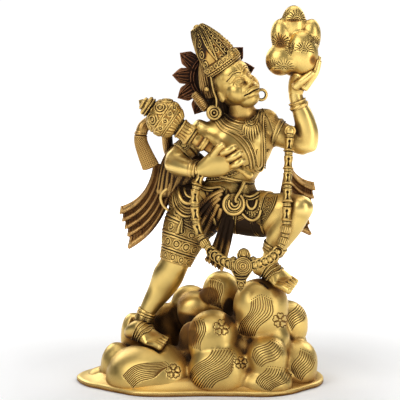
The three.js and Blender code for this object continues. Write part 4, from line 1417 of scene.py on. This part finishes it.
def swags(trees):
    """Loops of cord, beads and tassels round the hips, with a spiral medallion in the middle."""
    crescent = between(CRESCENT_OUTER, CRESCENT_INNER)
    border = between(BORDER_LEFT, BORDER_RIGHT)
    x, z = MEDALLION

    def crescent_plan(u, v):
        edges = 2.0 * ridge(v - 0.12, 0.14) + ridge(v - 0.4, 0.08) + 0.9 * ridge(v - 0.82, 0.1)
        dotted = 0.8 * stripes(u * 26, 0.34) * ridge(v - 0.6, 0.1)
        return *crescent(u, v), 3.0 + edges + dotted

    def disc_plan(u, v):
        turn, r = u * TURN, v * 14.5
        notches = 0.6 * flutes(turn, 26, 0.4) * ridge(r - 11, 1.4)
        return x + r * np.sin(turn), z + r * np.cos(turn), 3.4 + notches

    def border_plan(u, v):
        lines = rings(v, (0.06, 0.2, 0.8), 0.05) + ridge(v - 0.94, 0.06)
        step = np.abs(repeat(u * 8, 1))
        inside = (v > 0.26) * (v < 0.74)
        weave = ridge(np.abs(v - 0.5) - 0.4 * step, 0.07) * inside
        strokes = 0.7 * stripes(u * 24 + v * 4, 0.34) * inside * (np.abs(v - 0.5) > step * 0.4)
        return *border(u, v), 1.8 + 1.1 * lines + 0.9 * weave + strokes

    shapes = [chain(trees, *row) for row in SWAGS]
    for row in SWAG_BEADS:
        shapes += bead_row(trees, *row)
    shapes.append(drape(trees, 120, 40, crescent_plan, 4))
    shapes.append(drape(trees, 110, 30, disc_plan, 3.0, closed=True))
    for radius, start, end, wire, lift in MEDALLION_ARCS:
        off_centre = 0.15 * (MEDALLION_RADIUS - radius)
        shapes.append(chain(trees, arc(x + off_centre, z + off_centre, radius, start, end), wire, lift))
    shapes.append(chain(trees, TWIST, 2.6, 7.0, taper=0.5, twist=0.4))
    shapes.append(drape(trees, 130, 60, border_plan))
    for line, start, end in TASSELS:
        shapes.append(chain(trees, line, end, 2.8, taper=start / end, flip=True))
    return gather(shapes)


# Jewels

STEP_LIMIT = 6
# Lines are (x, z) on the front plane. A rope has its thickness, a row of beads their radius and pitch
ROPES = (
    ([(21.9, 360.0), (30.1, 349.1), (43.8, 342.2), (54.7, 332.6), (62.9, 321.7), (68.4, 307.9),
      (69.7, 295.6)], 1.7),
    ([(23.2, 363.4), (32.8, 352.5), (47.9, 346.3), (58.8, 337.4), (67.0, 325.8), (72.5, 310.7),
      (73.9, 296.9)], 1.5),
    ([(26.0, 366.9), (35.6, 355.9), (50.6, 349.8), (62.9, 340.9), (71.1, 328.5), (76.6, 313.4),
      (78.0, 302.4)], 1.2),
    ([(73.9, 296.9), (76.6, 292.8), (80.7, 291.4), (85.5, 294.2), (87.5, 303.8), (87.8, 321.7),
      (86.8, 342.2), (86.2, 360.0), (87.5, 375.0)], 1.5),
    ([(78.4, 321.7), (78.0, 307.9), (78.5, 299.7), (80.7, 296.9), (83.4, 299.7), (84.2, 310.7),
      (84.2, 335.4), (82.7, 355.9), (84.1, 373.7)], 1.2),
    ([(28.7, 372.3), (36.9, 362.8), (46.5, 358.0), (58.8, 355.9), (71.1, 359.3), (78.0, 366.9),
      (80.7, 376.4)], 1.5),
    ([(32.8, 372.3), (42.4, 364.1), (52.0, 360.7), (60.2, 359.6), (69.7, 362.8), (76.6, 369.6),
      (78.0, 376.4)], 1.1),
    ([(84.8, 377.8), (91.6, 368.2), (97.1, 357.3), (99.8, 347.7)], 1.4),
    ([(90.0, 372.0), (98.5, 367.0), (108.0, 359.5)], 1.0),
)
CHEST_BEADS = (
    ([(88.2, 366.9), (90.0, 349.1), (89.2, 332.6), (90.0, 314.8), (89.2, 296.9)], 1.35, 3.0),
    ([(23.9, 365.2), (34.2, 353.9), (49.2, 347.7), (60.9, 338.8), (69.1, 327.2), (74.5, 312.1),
      (75.9, 299.7)], 0.95, 2.3),
    ([(31.5, 366.9), (39.7, 360.7), (49.2, 356.2), (60.2, 353.2), (53.3, 353.2)], 0.9, 2.2),
    ([(87.5, 373.7), (94.4, 362.8), (98.5, 350.4)], 0.9, 2.3),
    ([(9.6, 281.8), (17.8, 281.8), (27.4, 283.2), (41.0, 287.3), (52.0, 292.8), (62.9, 298.3),
      (68.4, 301.1)], 1.9, 4.4),
)
BELT_EDGES = (
    [(9.6, 285.8), (16.4, 285.4), (28.7, 287.0), (42.4, 291.4), (58.8, 299.7)],
    [(9.6, 278.6), (16.4, 278.2), (30.1, 279.8), (43.8, 284.5), (60.2, 292.8)],
)
BELT = [[41.5, -1, 283, 33.5, 26], [42, -1, 285, 34, 27], [42.5, -1, 287, 34, 27]]
COLLAR_UPPER = [
    (31.5, 373.7), (42.4, 364.8), (52.0, 361.4), (60.2, 360.3), (69.7, 363.4), (76.6, 370.9), (79.3, 379.1),
]
COLLAR_LOWER = [
    (21.9, 360.0), (31.5, 349.1), (46.5, 343.6), (56.1, 339.5), (68.4, 343.6), (79.3, 351.8), (86.2, 373.7),
]
FLAMES = (
    [(60.9, 355.9), (58.3, 350.4), (58.8, 343.6)], [(63.2, 353.7), (61.5, 347.7), (62.9, 338.9)],
    [(65.9, 352.4), (64.8, 345.0), (66.7, 335.9)], [(68.9, 351.8), (68.4, 343.6), (70.6, 333.2)],
    [(71.9, 351.8), (72.2, 342.8), (74.1, 331.3)], [(74.9, 352.9), (75.8, 345.5), (76.9, 336.8)],
    [(77.4, 354.8), (79.0, 349.1), (79.9, 342.2)], [(79.3, 357.8), (81.5, 353.2), (82.1, 347.7)],
)
CHEST_DISC = (69.7, 361.4)
CHEST_DISC_RINGS = ((2.4, 1.3), (5.4, 1.2), (8.2, 1.2))
SHAWL_LEFT = [(84.8, 377.8), (91.6, 368.2), (97.1, 357.3), (99.8, 347.7)]
SHAWL_RIGHT = [(90.3, 380.5), (99.8, 373.7), (106.7, 366.9), (106.7, 357.3)]
CHEST_KNOBS = ((51.0, 321.7), (93.0, 321.0))
ROUNDEL = [[0, 0], [0, 9], [2, 9.4], [3, 8.4], [2.2, 7.2], [3.2, 6], [2.6, 4.8], [4, 3], [4.4, 0]]


def struck(trees, a, b):
    """Where the viewer's rays through (a, b) of the front plane meet the nearest surface."""
    found = np.full((len(a), 3), np.nan)
    for i, (x, z) in enumerate(zip(a, b)):
        ray = (Vector((x, 0, z)) - EYE).normalized()
        hits = [hit for hit in (tree.ray_cast(EYE, ray) for tree in trees) if hit[0] is not None]
        if hits:
            found[i] = min(hits, key=lambda hit: hit[3])[0]
    return found


def off(places, lift):
    """Places moved towards the viewer."""
    towards = unit(np.array(EYE) - places)
    return places + towards * np.broadcast_to(lift, len(places))[:, None]


def lay(trees, a, b, lift):
    """Places on the nearest surface that the viewer sees at (a, b) of the front plane, lifted off it."""
    found = struck(trees, a, b)
    lost = np.isnan(found[:, 1])
    if lost.all():
        found = np.stack([a, np.full(len(a), -20.0), b], axis=1)
    elif lost.any():
        for i in np.nonzero(lost)[0]:
            far = np.hypot(a[~lost] - a[i], b[~lost] - b[i])
            y = found[~lost][far.argmin(), 1]
            share = (y - EYE.y) / -EYE.y
            found[i] = (a[i] * share, y, EYE.z + (b[i] - EYE.z) * share)
    return off(found, lift)


def calm(line, passes=6):
    """A path with its jumps in depth eased."""
    line = line.copy()
    for _ in range(passes):
        line[1:-1] = (line[:-2] + 2 * line[1:-1] + line[2:]) / 4
    return line


def laid(trees, line, lift, pitch=1.6):
    """A line of (x, z) laid over the body, with a place for each pitch along it."""
    count = max(int(length_of(smooth_path(line, 60)) / pitch), 3)
    flat = smooth_path(line, count + 1)
    return calm(lay(trees, flat[:, 0], flat[:, 1], lift))


def chain(trees, line, wire, lift, taper=1.0, flip=False, twist=0.0):
    """A raised wire laid over the body. Taper is the far end's share of its thickness."""
    path = laid(trees, line, lift)
    keep = np.concatenate([[True], np.linalg.norm(np.diff(path, axis=0), axis=1) > 0.2])
    path = path[keep]
    size = wire * np.linspace(1, taper, len(path))
    size = size[::-1] if flip else size
    around, count = (22, 5 * len(path)) if twist else (12, 2 * len(path))
    return tube(np.column_stack([path, size]), around, count, dome=0.8,
                relief=lambda turn, run: twist * ridge(repeat(run + turn * 1.1, 2.8), 1.1))


def bead_row(trees, line, radius, pitch):
    """Round beads laid along a line over the body."""
    path = laid(trees, line, radius * 0.3, 0.8)
    count = max(int(length_of(path) / pitch), 1)
    return [blob(place[:3], (radius,) * 3, around=12, rows=8) for place in smooth_path(path, count + 1)]


def drape(trees, columns, rows, plan, thick=2.0, closed=False):
    """A worked sheet laid over the body: plan(u, v) gives where the viewer sees it, and its height."""
    bm = bmesh.new()
    bmesh.ops.create_grid(bm, x_segments=columns, y_segments=rows, size=0.5)
    flat = spots(bm) + 0.5
    a, b, height = plan(flat[:, 0], flat[:, 1])
    found = struck(trees, a, b)
    missed = np.isnan(found[:, 1])
    far = [
        face for face in bm.faces
        if any(missed[vert.index] for vert in face.verts)
        or np.ptp([found[vert.index, 1] for vert in face.verts]) > STEP_LIMIT
    ]
    put(bm, np.where(missed[:, None], 0, off(found, height)))
    bmesh.ops.delete(bm, geom=far, context="FACES")
    if closed:
        bmesh.ops.remove_doubles(bm, verts=bm.verts, dist=0.02)
    return thicken(bm, thick)


def jewels(trees):
    """The necklaces, the double sash, the collar with its flames, the bead belt and the shawl."""
    collar = between(COLLAR_UPPER, COLLAR_LOWER, 400)
    shawl = between(SHAWL_LEFT, SHAWL_RIGHT)

    def collar_plan(u, v):
        hatch = 0.7 * stripes(u * 62 + v * 2, 0.36) * (v > 0.2) * (v < 0.5)
        lines = 0.8 * rings(v, (0.16, 0.56, 0.74, 0.92), 0.06)
        return *collar(u, v), 0.8 + hatch + lines

    def shawl_plan(u, v):
        rows = [dots(u * 15 + a, repeat(v * 26 + b, 3.4), 3, 1.4) for a, b in ((0, 0), (1.5, 1.7))]
        return *shawl(v, u), 1.6 + 0.8 * np.maximum(*rows)

    shapes = [chain(trees, line, wire, 0.5) for line, wire in ROPES]
    for row in CHEST_BEADS:
        shapes += bead_row(trees, *row)
    shapes += [chain(trees, line, 1.0, 0.3) for line in BELT_EDGES]
    shapes.append(drape(trees, 190, 40, collar_plan))
    shapes += [chain(trees, line, 2.0, 1.6, taper=0.2) for line in FLAMES]
    for radius, wire in CHEST_DISC_RINGS:
        shapes.append(chain(trees, arc(*CHEST_DISC, radius, -100, 100), wire, 1.8))
    shapes.append(drape(trees, 50, 70, shawl_plan))
    for x, z in CHEST_KNOBS:
        shapes += bead_row(trees, [(x, z), (x + 0.1, z)], 2.1, 5)
    shapes.append(tube(BELT, 120, 14, dome=0.02, caps=2))
    shapes.append(turned(smooth_profile(ROUNDEL, 36), (-21, -18, 331), (-24, -26, 332.5), 40))
    return gather(shapes)


def worn(stations, start, end, swell, around=60, front=FRONT, relief=None):
    """A band round a limb, between two shares of its length."""
    line = smooth_path(stations, 101)
    part = line[int(start * 100):int(end * 100) + 1]
    part = np.column_stack([part[:, :3], part[:, 3:] + swell])
    part = part[::3] if len(part) > 9 else part
    return tube(part, around, 24, front=front, relief=relief, dome=0.05, caps=3)


def bangles():
    """Anklets, armlets and bracelets."""
    def pair(turn, run):
        return 1.3 * ridge(repeat(run, 6.4), 2.4)

    def frill(turn, run):
        return rings(run, (2, 6), 1.7) + 1.2 * flutes(turn, 26, 0.4) * (run > 8.5)

    return gather([
        worn(LEG_BACK, 0.845, 0.925, 1.0, relief=frill), worn(SHIN_FRONT, 0.58, 0.7, 1.0, relief=frill),
        worn(ARM_RAISED, 0.28, 0.42, 1.0, relief=pair), worn(FOREARM_RAISED, 0.7, 0.84, 0.8, relief=pair),
        worn(ARM_LOWERED, 0.46, 0.56, 1.0, relief=pair), worn(ARM_LOWERED, 0.66, 0.72, 1.0, relief=pair),
        worn(FOREARM_LOWERED, 0.74, 0.92, 0.8, front=UP, relief=pair),
    ])


# Rocks

# Centre and half sizes
BOULDERS = [
    ((83, -30, 108), (38, 36, 43)), ((17, -45, 72), (35, 35, 36)), ((26, -60, 26), (41, 35, 42)),
    ((-66, -32, 6), (64, 52, 54)), ((90, -60, 48), (29, 30, 27)), ((88, -64, 10), (37, 31, 26)),
    ((120, 8, 82), (31, 31, 30)), ((129, -20, 28), (33, 36, 35)), ((-8, 14, 98), (26, 24, 25)),
    ((-14, 40, 96), (28, 22, 31)), ((30, 22, 116), (28, 26, 35)), ((-93, 34, 50), (20, 22, 39)),
    ((-114, -4, 18), (23, 30, 37)), ((-134, 4, -6), (26, 30, 24)), ((-48, 34, 66), (20, 20, 38)),
    ((66, 34, 60), (58, 42, 60)), ((116, 42, 30), (38, 40, 46)), ((-30, 54, 22), (70, 36, 52)),
    ((-70, 30, 40), (18, 22, 44)), ((58, -36, 48), (20, 26, 26)), ((-8, -26, 60), (22, 22, 30)),
    ((100, -36, 66), (24, 26, 24)),
]
PLINTH_LENGTH = 342
PLINTH_DEPTH = 196
RIM = [
    (-171, 0), (-157, -36), (-137, -54), (-111, -76), (-84, -94), (-50, -98), (0, -95), (50, -96),
    (92, -98), (122, -84), (144, -60), (163, -38), (171, -4), (164, 34), (138, 66), (92, 90),
    (36, 98), (-26, 96), (-84, 90), (-130, 66), (-161, 34),
]
# A patch of waves runs from one curve through a second to a third, and has so many lines
WAVES = [
    ([(71, 111), (85, 118), (98, 113)], [(64, 92), (79, 97), (96, 91)], [(53, 68), (64, 63), (75, 63)], 10),
    ([(18, 43), (45, 40), (45, 15)], [(4, 29), (30, 26), (33, 3)], [(-14, 9), (-12, -8), (16, -11)], 14),
    ([(-51, 26), (-46, 20), (-55, 12)], [(-75, 26), (-74, 15), (-71, 3)],
     [(-107, 6), (-101, -2), (-93, -10)], 10),
    ([(98, 56), (108, 50), (114, 40)], [(79, 46), (90, 37), (100, 27)], [(72, 32), (78, 23), (85, 19)], 8),
    ([(93, 17), (112, 15), (127, 9)], [(85, 9), (98, 0), (115, -5)], [(78, -4), (88, -12), (98, -15)], 11),
    ([(135, 108), (144, 102), (146, 92)], [(127, 98), (134, 91), (138, 83)],
     [(120, 88), (123, 80), (127, 71)], 7),
    ([(139, 42), (152, 36), (159, 26)], [(131, 27), (141, 19), (149, 9)], [(127, 13), (133, 5), (141, 0)], 9),
    ([(14, 141), (22, 140), (30, 137)], [(12, 123), (20, 121), (29, 119)],
     [(16, 106), (23, 104), (30, 101)], 8),
    ([(-8, 83), (0, 85), (5, 83)], [(-7, 66), (0, 66), (5, 63)], [(-11, 46), (-5, 45), (0, 43)], 5),
]
# Place on the front plane and radius
FLOWERS = [(111, 85, 11), (30, 75, 12), (57, 25, 9), (-37, 13, 11)]
# Patches of painted shade on the boulders: the pocket under the back leg and the gaps between boulders.
ROCK_SHADE_PATCHES = [(-34, 80, 30, 18), (-22, 62, 20, 16), (40, 96, 8, 20), (12, 120, 14, 12)]


def rock_lines():
    """What is engraved on the boulders: waves, each with a dot before it, and flowers."""
    lines = []
    for start, middle, end, count in WAVES:
        bundle = fan(start, middle, end, count)
        lines += bundle
        for line in bundle:
            (x0, z0), (x1, z1) = line[0], line[1]
            far = math.hypot(x1 - x0, z1 - z0)
            x, z = x0 - (x1 - x0) / far * 3, z0 - (z1 - z0) / far * 3
            lines.append([(x - 0.1, z), (x + 0.1, z)])
    for x, z, radius in FLOWERS:
        lines += flower(x, z, radius)
    return lines


def pillow(ball):
    """A ball made boxier, its lower half carried straight down."""
    full = (np.abs(ball) ** 2.2).sum(axis=1) ** (-1 / 2.2)
    ball = ball * full[:, None]
    low = ball[:, 2] < 0
    flat = np.maximum(np.hypot(ball[:, 0], ball[:, 1]), 1e-6)
    wide = np.where(low, flat ** -0.5, 1)
    ball[:, :2] *= np.minimum(wide, 3)[:, None] * np.where(flat < 0.05, 0, 1)[:, None]
    return ball


def uneven(places, normals):
    """Broad hand-shaped unevenness, worked out from slow waves."""
    x, y, z = (places / 30).T
    wave = np.sin(x * 1.3 + np.sin(y * 1.1) + 2) * np.sin(z * 1.7 + 0.6 * np.sin(x * 2.1))
    return 1.2 * (wave + 0.5 * np.sin(y * 2.3 + z)) - 0.6


SEAT_HALF_WIDTH = 22
SEAT_RUN = (-10, 76)
SEAT_ROOM = 40


def flatten(bm, sole):
    """Presses the rock flat under a sole."""
    matrix = sole_matrix(sole)
    back = matrix.inverted()
    for vert in bm.verts:
        local = back @ vert.co
        under = abs(local.x) < SEAT_HALF_WIDTH and SEAT_RUN[0] < local.y < SEAT_RUN[1]
        if under and 0 < local.z < SEAT_ROOM:
            local.z = -0.1
            vert.co = matrix @ local


def rocks():
    """The boulders, pressed flat under the soles and engraved with waves and flowers."""
    shapes = [blob(centre, half, around=44, rows=30, shape=pillow) for centre, half in BOULDERS]
    bm = fuse(shapes, voxel=2.3, passes=9)
    cut_flat(bm, 1)
    shift(bm, uneven)
    for sole in (SOLE_BACK, SOLE_FRONT):
        flatten(bm, sole)
    carve(bm, rock_lines(), width=0.72, deep=0.62)
    # Painted shade in the pocket under the leg and between the boulders.
    return paint_shade(bm, ROCK_SHADE_PATCHES, deep=0.8)


def rim():
    """The wavy plate under the boulders, which rises towards its middle."""
    edge = smooth_path([(x, y, 0) for x, y in RIM], 220, closed=True)[:-1]
    low, high = edge.min(axis=0), edge.max(axis=0)
    middle, size = (low + high) / 2, high - low
    x = (edge[:, 0] - middle[0]) / size[0] * PLINTH_LENGTH
    y = (edge[:, 1] - middle[1]) / size[1] * PLINTH_DEPTH
    profile = np.array([
        (0, 0), (0.985, 0), (1, 1.5), (1, 5.2), (0.99, 6.6), (0.965, 7.2), (0.93, 8.4), (0.88, 11),
        (0.82, 15), (0.75, 20), (0, 22),
    ])

    def place(u, v):
        turn = np.rint(u * len(x)).astype(int) % len(x)
        row = np.rint(v * (len(profile) - 1)).astype(int)
        share, z = profile[row].T
        return np.stack([x[turn] * share, y[turn] * share, z], axis=1)

    return close(sheet(len(x), len(profile) - 1, place))


# Build

skin = flesh()
# The hip cloth gets patches of painted shade.
cloth = paint_shade(dress(), DRESS_SHADE_PATCHES, deep=0.75)
body_trees = [BVHTree.FromBMesh(skin), BVHTree.FromBMesh(dress(plain=True))]
brass_piece("body_flesh", skin, POLISHED, soft=0.5)
both_feet = gather([foot(SOLE_BACK), foot(SOLE_FRONT)])
# The feet get patches of painted shade.
brass_piece("feet", paint_shade(both_feet, FOOT_SHADE_PATCHES, deep=0.2), POLISHED, keep=0.35)
brass_piece("instep_bands", gather([foot_bands(SOLE_BACK), foot_bands(SOLE_FRONT)]), WORKED, keep=1.0)
brass_piece("raised_hand", raised_hand(), POLISHED)
brass_piece("grip_hand", grip_hand(), POLISHED)
brass_piece("mace_club", mace(), WORKED, soft=0.35)
brass_piece("monkey_head", face(), FACE_BRASS, soft=0.7)
# The crown gets a patch of painted shade.
brass_piece("tall_crown", paint_shade(crown(), CROWN_SHADE_PATCHES, deep=0.3), WORKED, soft=0.7)
brass_piece("petal_halo", halo(), HALO_BRASS, keep=0.4)
brass_piece("ear_jewels", earrings(), WORKED, keep=1.0)
brass_piece("hair_lock", lock(), FOLDED)
brass_piece("mountain_peaks", mountain(), POLISHED, soft=0.5)
brass_piece("curled_tail", tail(), FOLDED, soft=0.8, keep=0.45)
brass_piece("pleated_scarves", scarves(), CLOTH_BRASS, soft=0.5)
# The cloth behind the arm gets a patch of painted shade.
brass_piece("side_cloth", paint_shade(side_cloth(), SIDE_SHADE_PATCHES, deep=0.25), FOLDED)
brass_piece("bead_garland", garland(), WORKED)
brass_piece("hip_dress", cloth, WORKED)
# The belt folds get patches of painted shade.
brass_piece("belt_folds", paint_shade(folds(body_trees), FOLD_SHADE_PATCHES, deep=0.6), FOLDED)
brass_piece("dress_swags", swags(body_trees), WORKED)
# The sash end gets the same painted shade.
brass_piece("sash_end", paint_shade(sash_end(), FOLD_SHADE_PATCHES, deep=0.45), FOLDED, keep=0.35)
brass_piece("chest_jewels", jewels(body_trees), WORKED)
brass_piece("limb_bangles", bangles(), WORKED, keep=0.7)
brass_piece("boulder_heap", rocks(), ROCK_BRASS, "rock_plinth", soft=0.25)
brass_piece("wavy_rim", rim(), ROCK_BRASS, "rock_plinth", keep=1.0)


# Stage, light and camera

FLOOR_REACH = 40
GLOW_STARTS = 0.25
GLOW_FULL = 1.1
# Name, place, height that it looks at, size and power
SOFTBOXES = (
    ("key_light", (-1.2, -1.5, 1.7), 0.25, (1.8, 1.8), 33),
    ("fill_light", (1.5, -1.2, 0.8), 0.25, (0.8, 1.6), 13),
    ("top_light", (0.1, 0.2, 1.9), 0.2, (1.4, 1.4), 13),
    ("rear_left", (-1.1, 1.6, 1.2), 0.3, (1.2, 1.4), 14),
    ("rear_right", (1.3, 1.5, 1.4), 0.3, (1.2, 1.4), 16),
)


def stage():
    """A pale floor, bright by itself further out, so that it looks the same from all sides."""
    bm = bmesh.new()
    bmesh.ops.create_circle(bm, cap_ends=True, segments=96, radius=FLOOR_REACH)
    mesh = bpy.data.meshes.new("pale_floor")
    bm.to_mesh(mesh)
    bm.free()
    paper = bpy.data.materials.new("pale_paper")
    paper.use_nodes = True
    nodes, links = paper.node_tree.nodes, paper.node_tree.links
    shader = nodes["Principled BSDF"]
    shader.inputs["Base Color"].default_value = (0.93, 0.93, 0.93, 1)
    shader.inputs["Roughness"].default_value = 0.8
    shader.inputs["Emission Color"].default_value = (1, 1, 1, 1)
    where = nodes.new("ShaderNodeTexCoord")
    reach = nodes.new("ShaderNodeVectorMath")
    reach.operation = "LENGTH"
    glow = nodes.new("ShaderNodeMapRange")
    glow.inputs["From Min"].default_value = GLOW_STARTS
    glow.inputs["From Max"].default_value = GLOW_FULL
    links.new(where.outputs["Object"], reach.inputs[0])
    links.new(reach.outputs["Value"], glow.inputs["Value"])
    links.new(glow.outputs["Result"], shader.inputs["Emission Strength"])
    mesh.materials.append(paper)
    floor = bpy.data.objects.new("pale_floor", mesh)
    bpy.context.collection.objects.link(floor)


def softbox(name, place, aim_height, size, power):
    """A soft light that looks at the figure's middle at a height."""
    light = bpy.data.lights.new(name, "AREA")
    light.shape = "RECTANGLE"
    light.size, light.size_y = size
    light.energy = power
    lamp = bpy.data.objects.new(name, light)
    lamp.location = place
    lamp.rotation_euler = (Vector((0, 0, aim_height)) - Vector(place)).to_track_quat("-Z", "Y").to_euler()
    bpy.context.collection.objects.link(lamp)


def sky(low, high):
    """Soft light from all round, growing from low near the ground to high overhead."""
    world = bpy.data.worlds.new("studio")
    bpy.context.scene.world = world
    world.use_nodes = True
    nodes, links = world.node_tree.nodes, world.node_tree.links
    where = nodes.new("ShaderNodeTexCoord")
    split = nodes.new("ShaderNodeSeparateXYZ")
    shade = nodes.new("ShaderNodeMapRange")
    for name, value in (("From Min", -0.1), ("From Max", 0.9), ("To Min", low), ("To Max", high)):
        shade.inputs[name].default_value = value
    links.new(where.outputs["Generated"], split.inputs[0])
    links.new(split.outputs["Z"], shade.inputs["Value"])
    links.new(shade.outputs["Result"], nodes["Background"].inputs["Strength"])


stage()
sky(0.6, 1.3)
for lamp_row in SOFTBOXES:
    softbox(*lamp_row)

CAMERA_PITCH = 7.907
LENS = 165.84
camera = bpy.data.objects.new("view", bpy.data.cameras.new("view"))
camera.data.lens = LENS
camera.data.sensor_width = 36
camera.location = (0, -2.5, 0.6)
camera.rotation_euler = (math.radians(90 - CAMERA_PITCH), 0, 0)
bpy.context.collection.objects.link(camera)
bpy.context.scene.camera = camera
bpy.context.scene.view_settings.view_transform = "Standard"
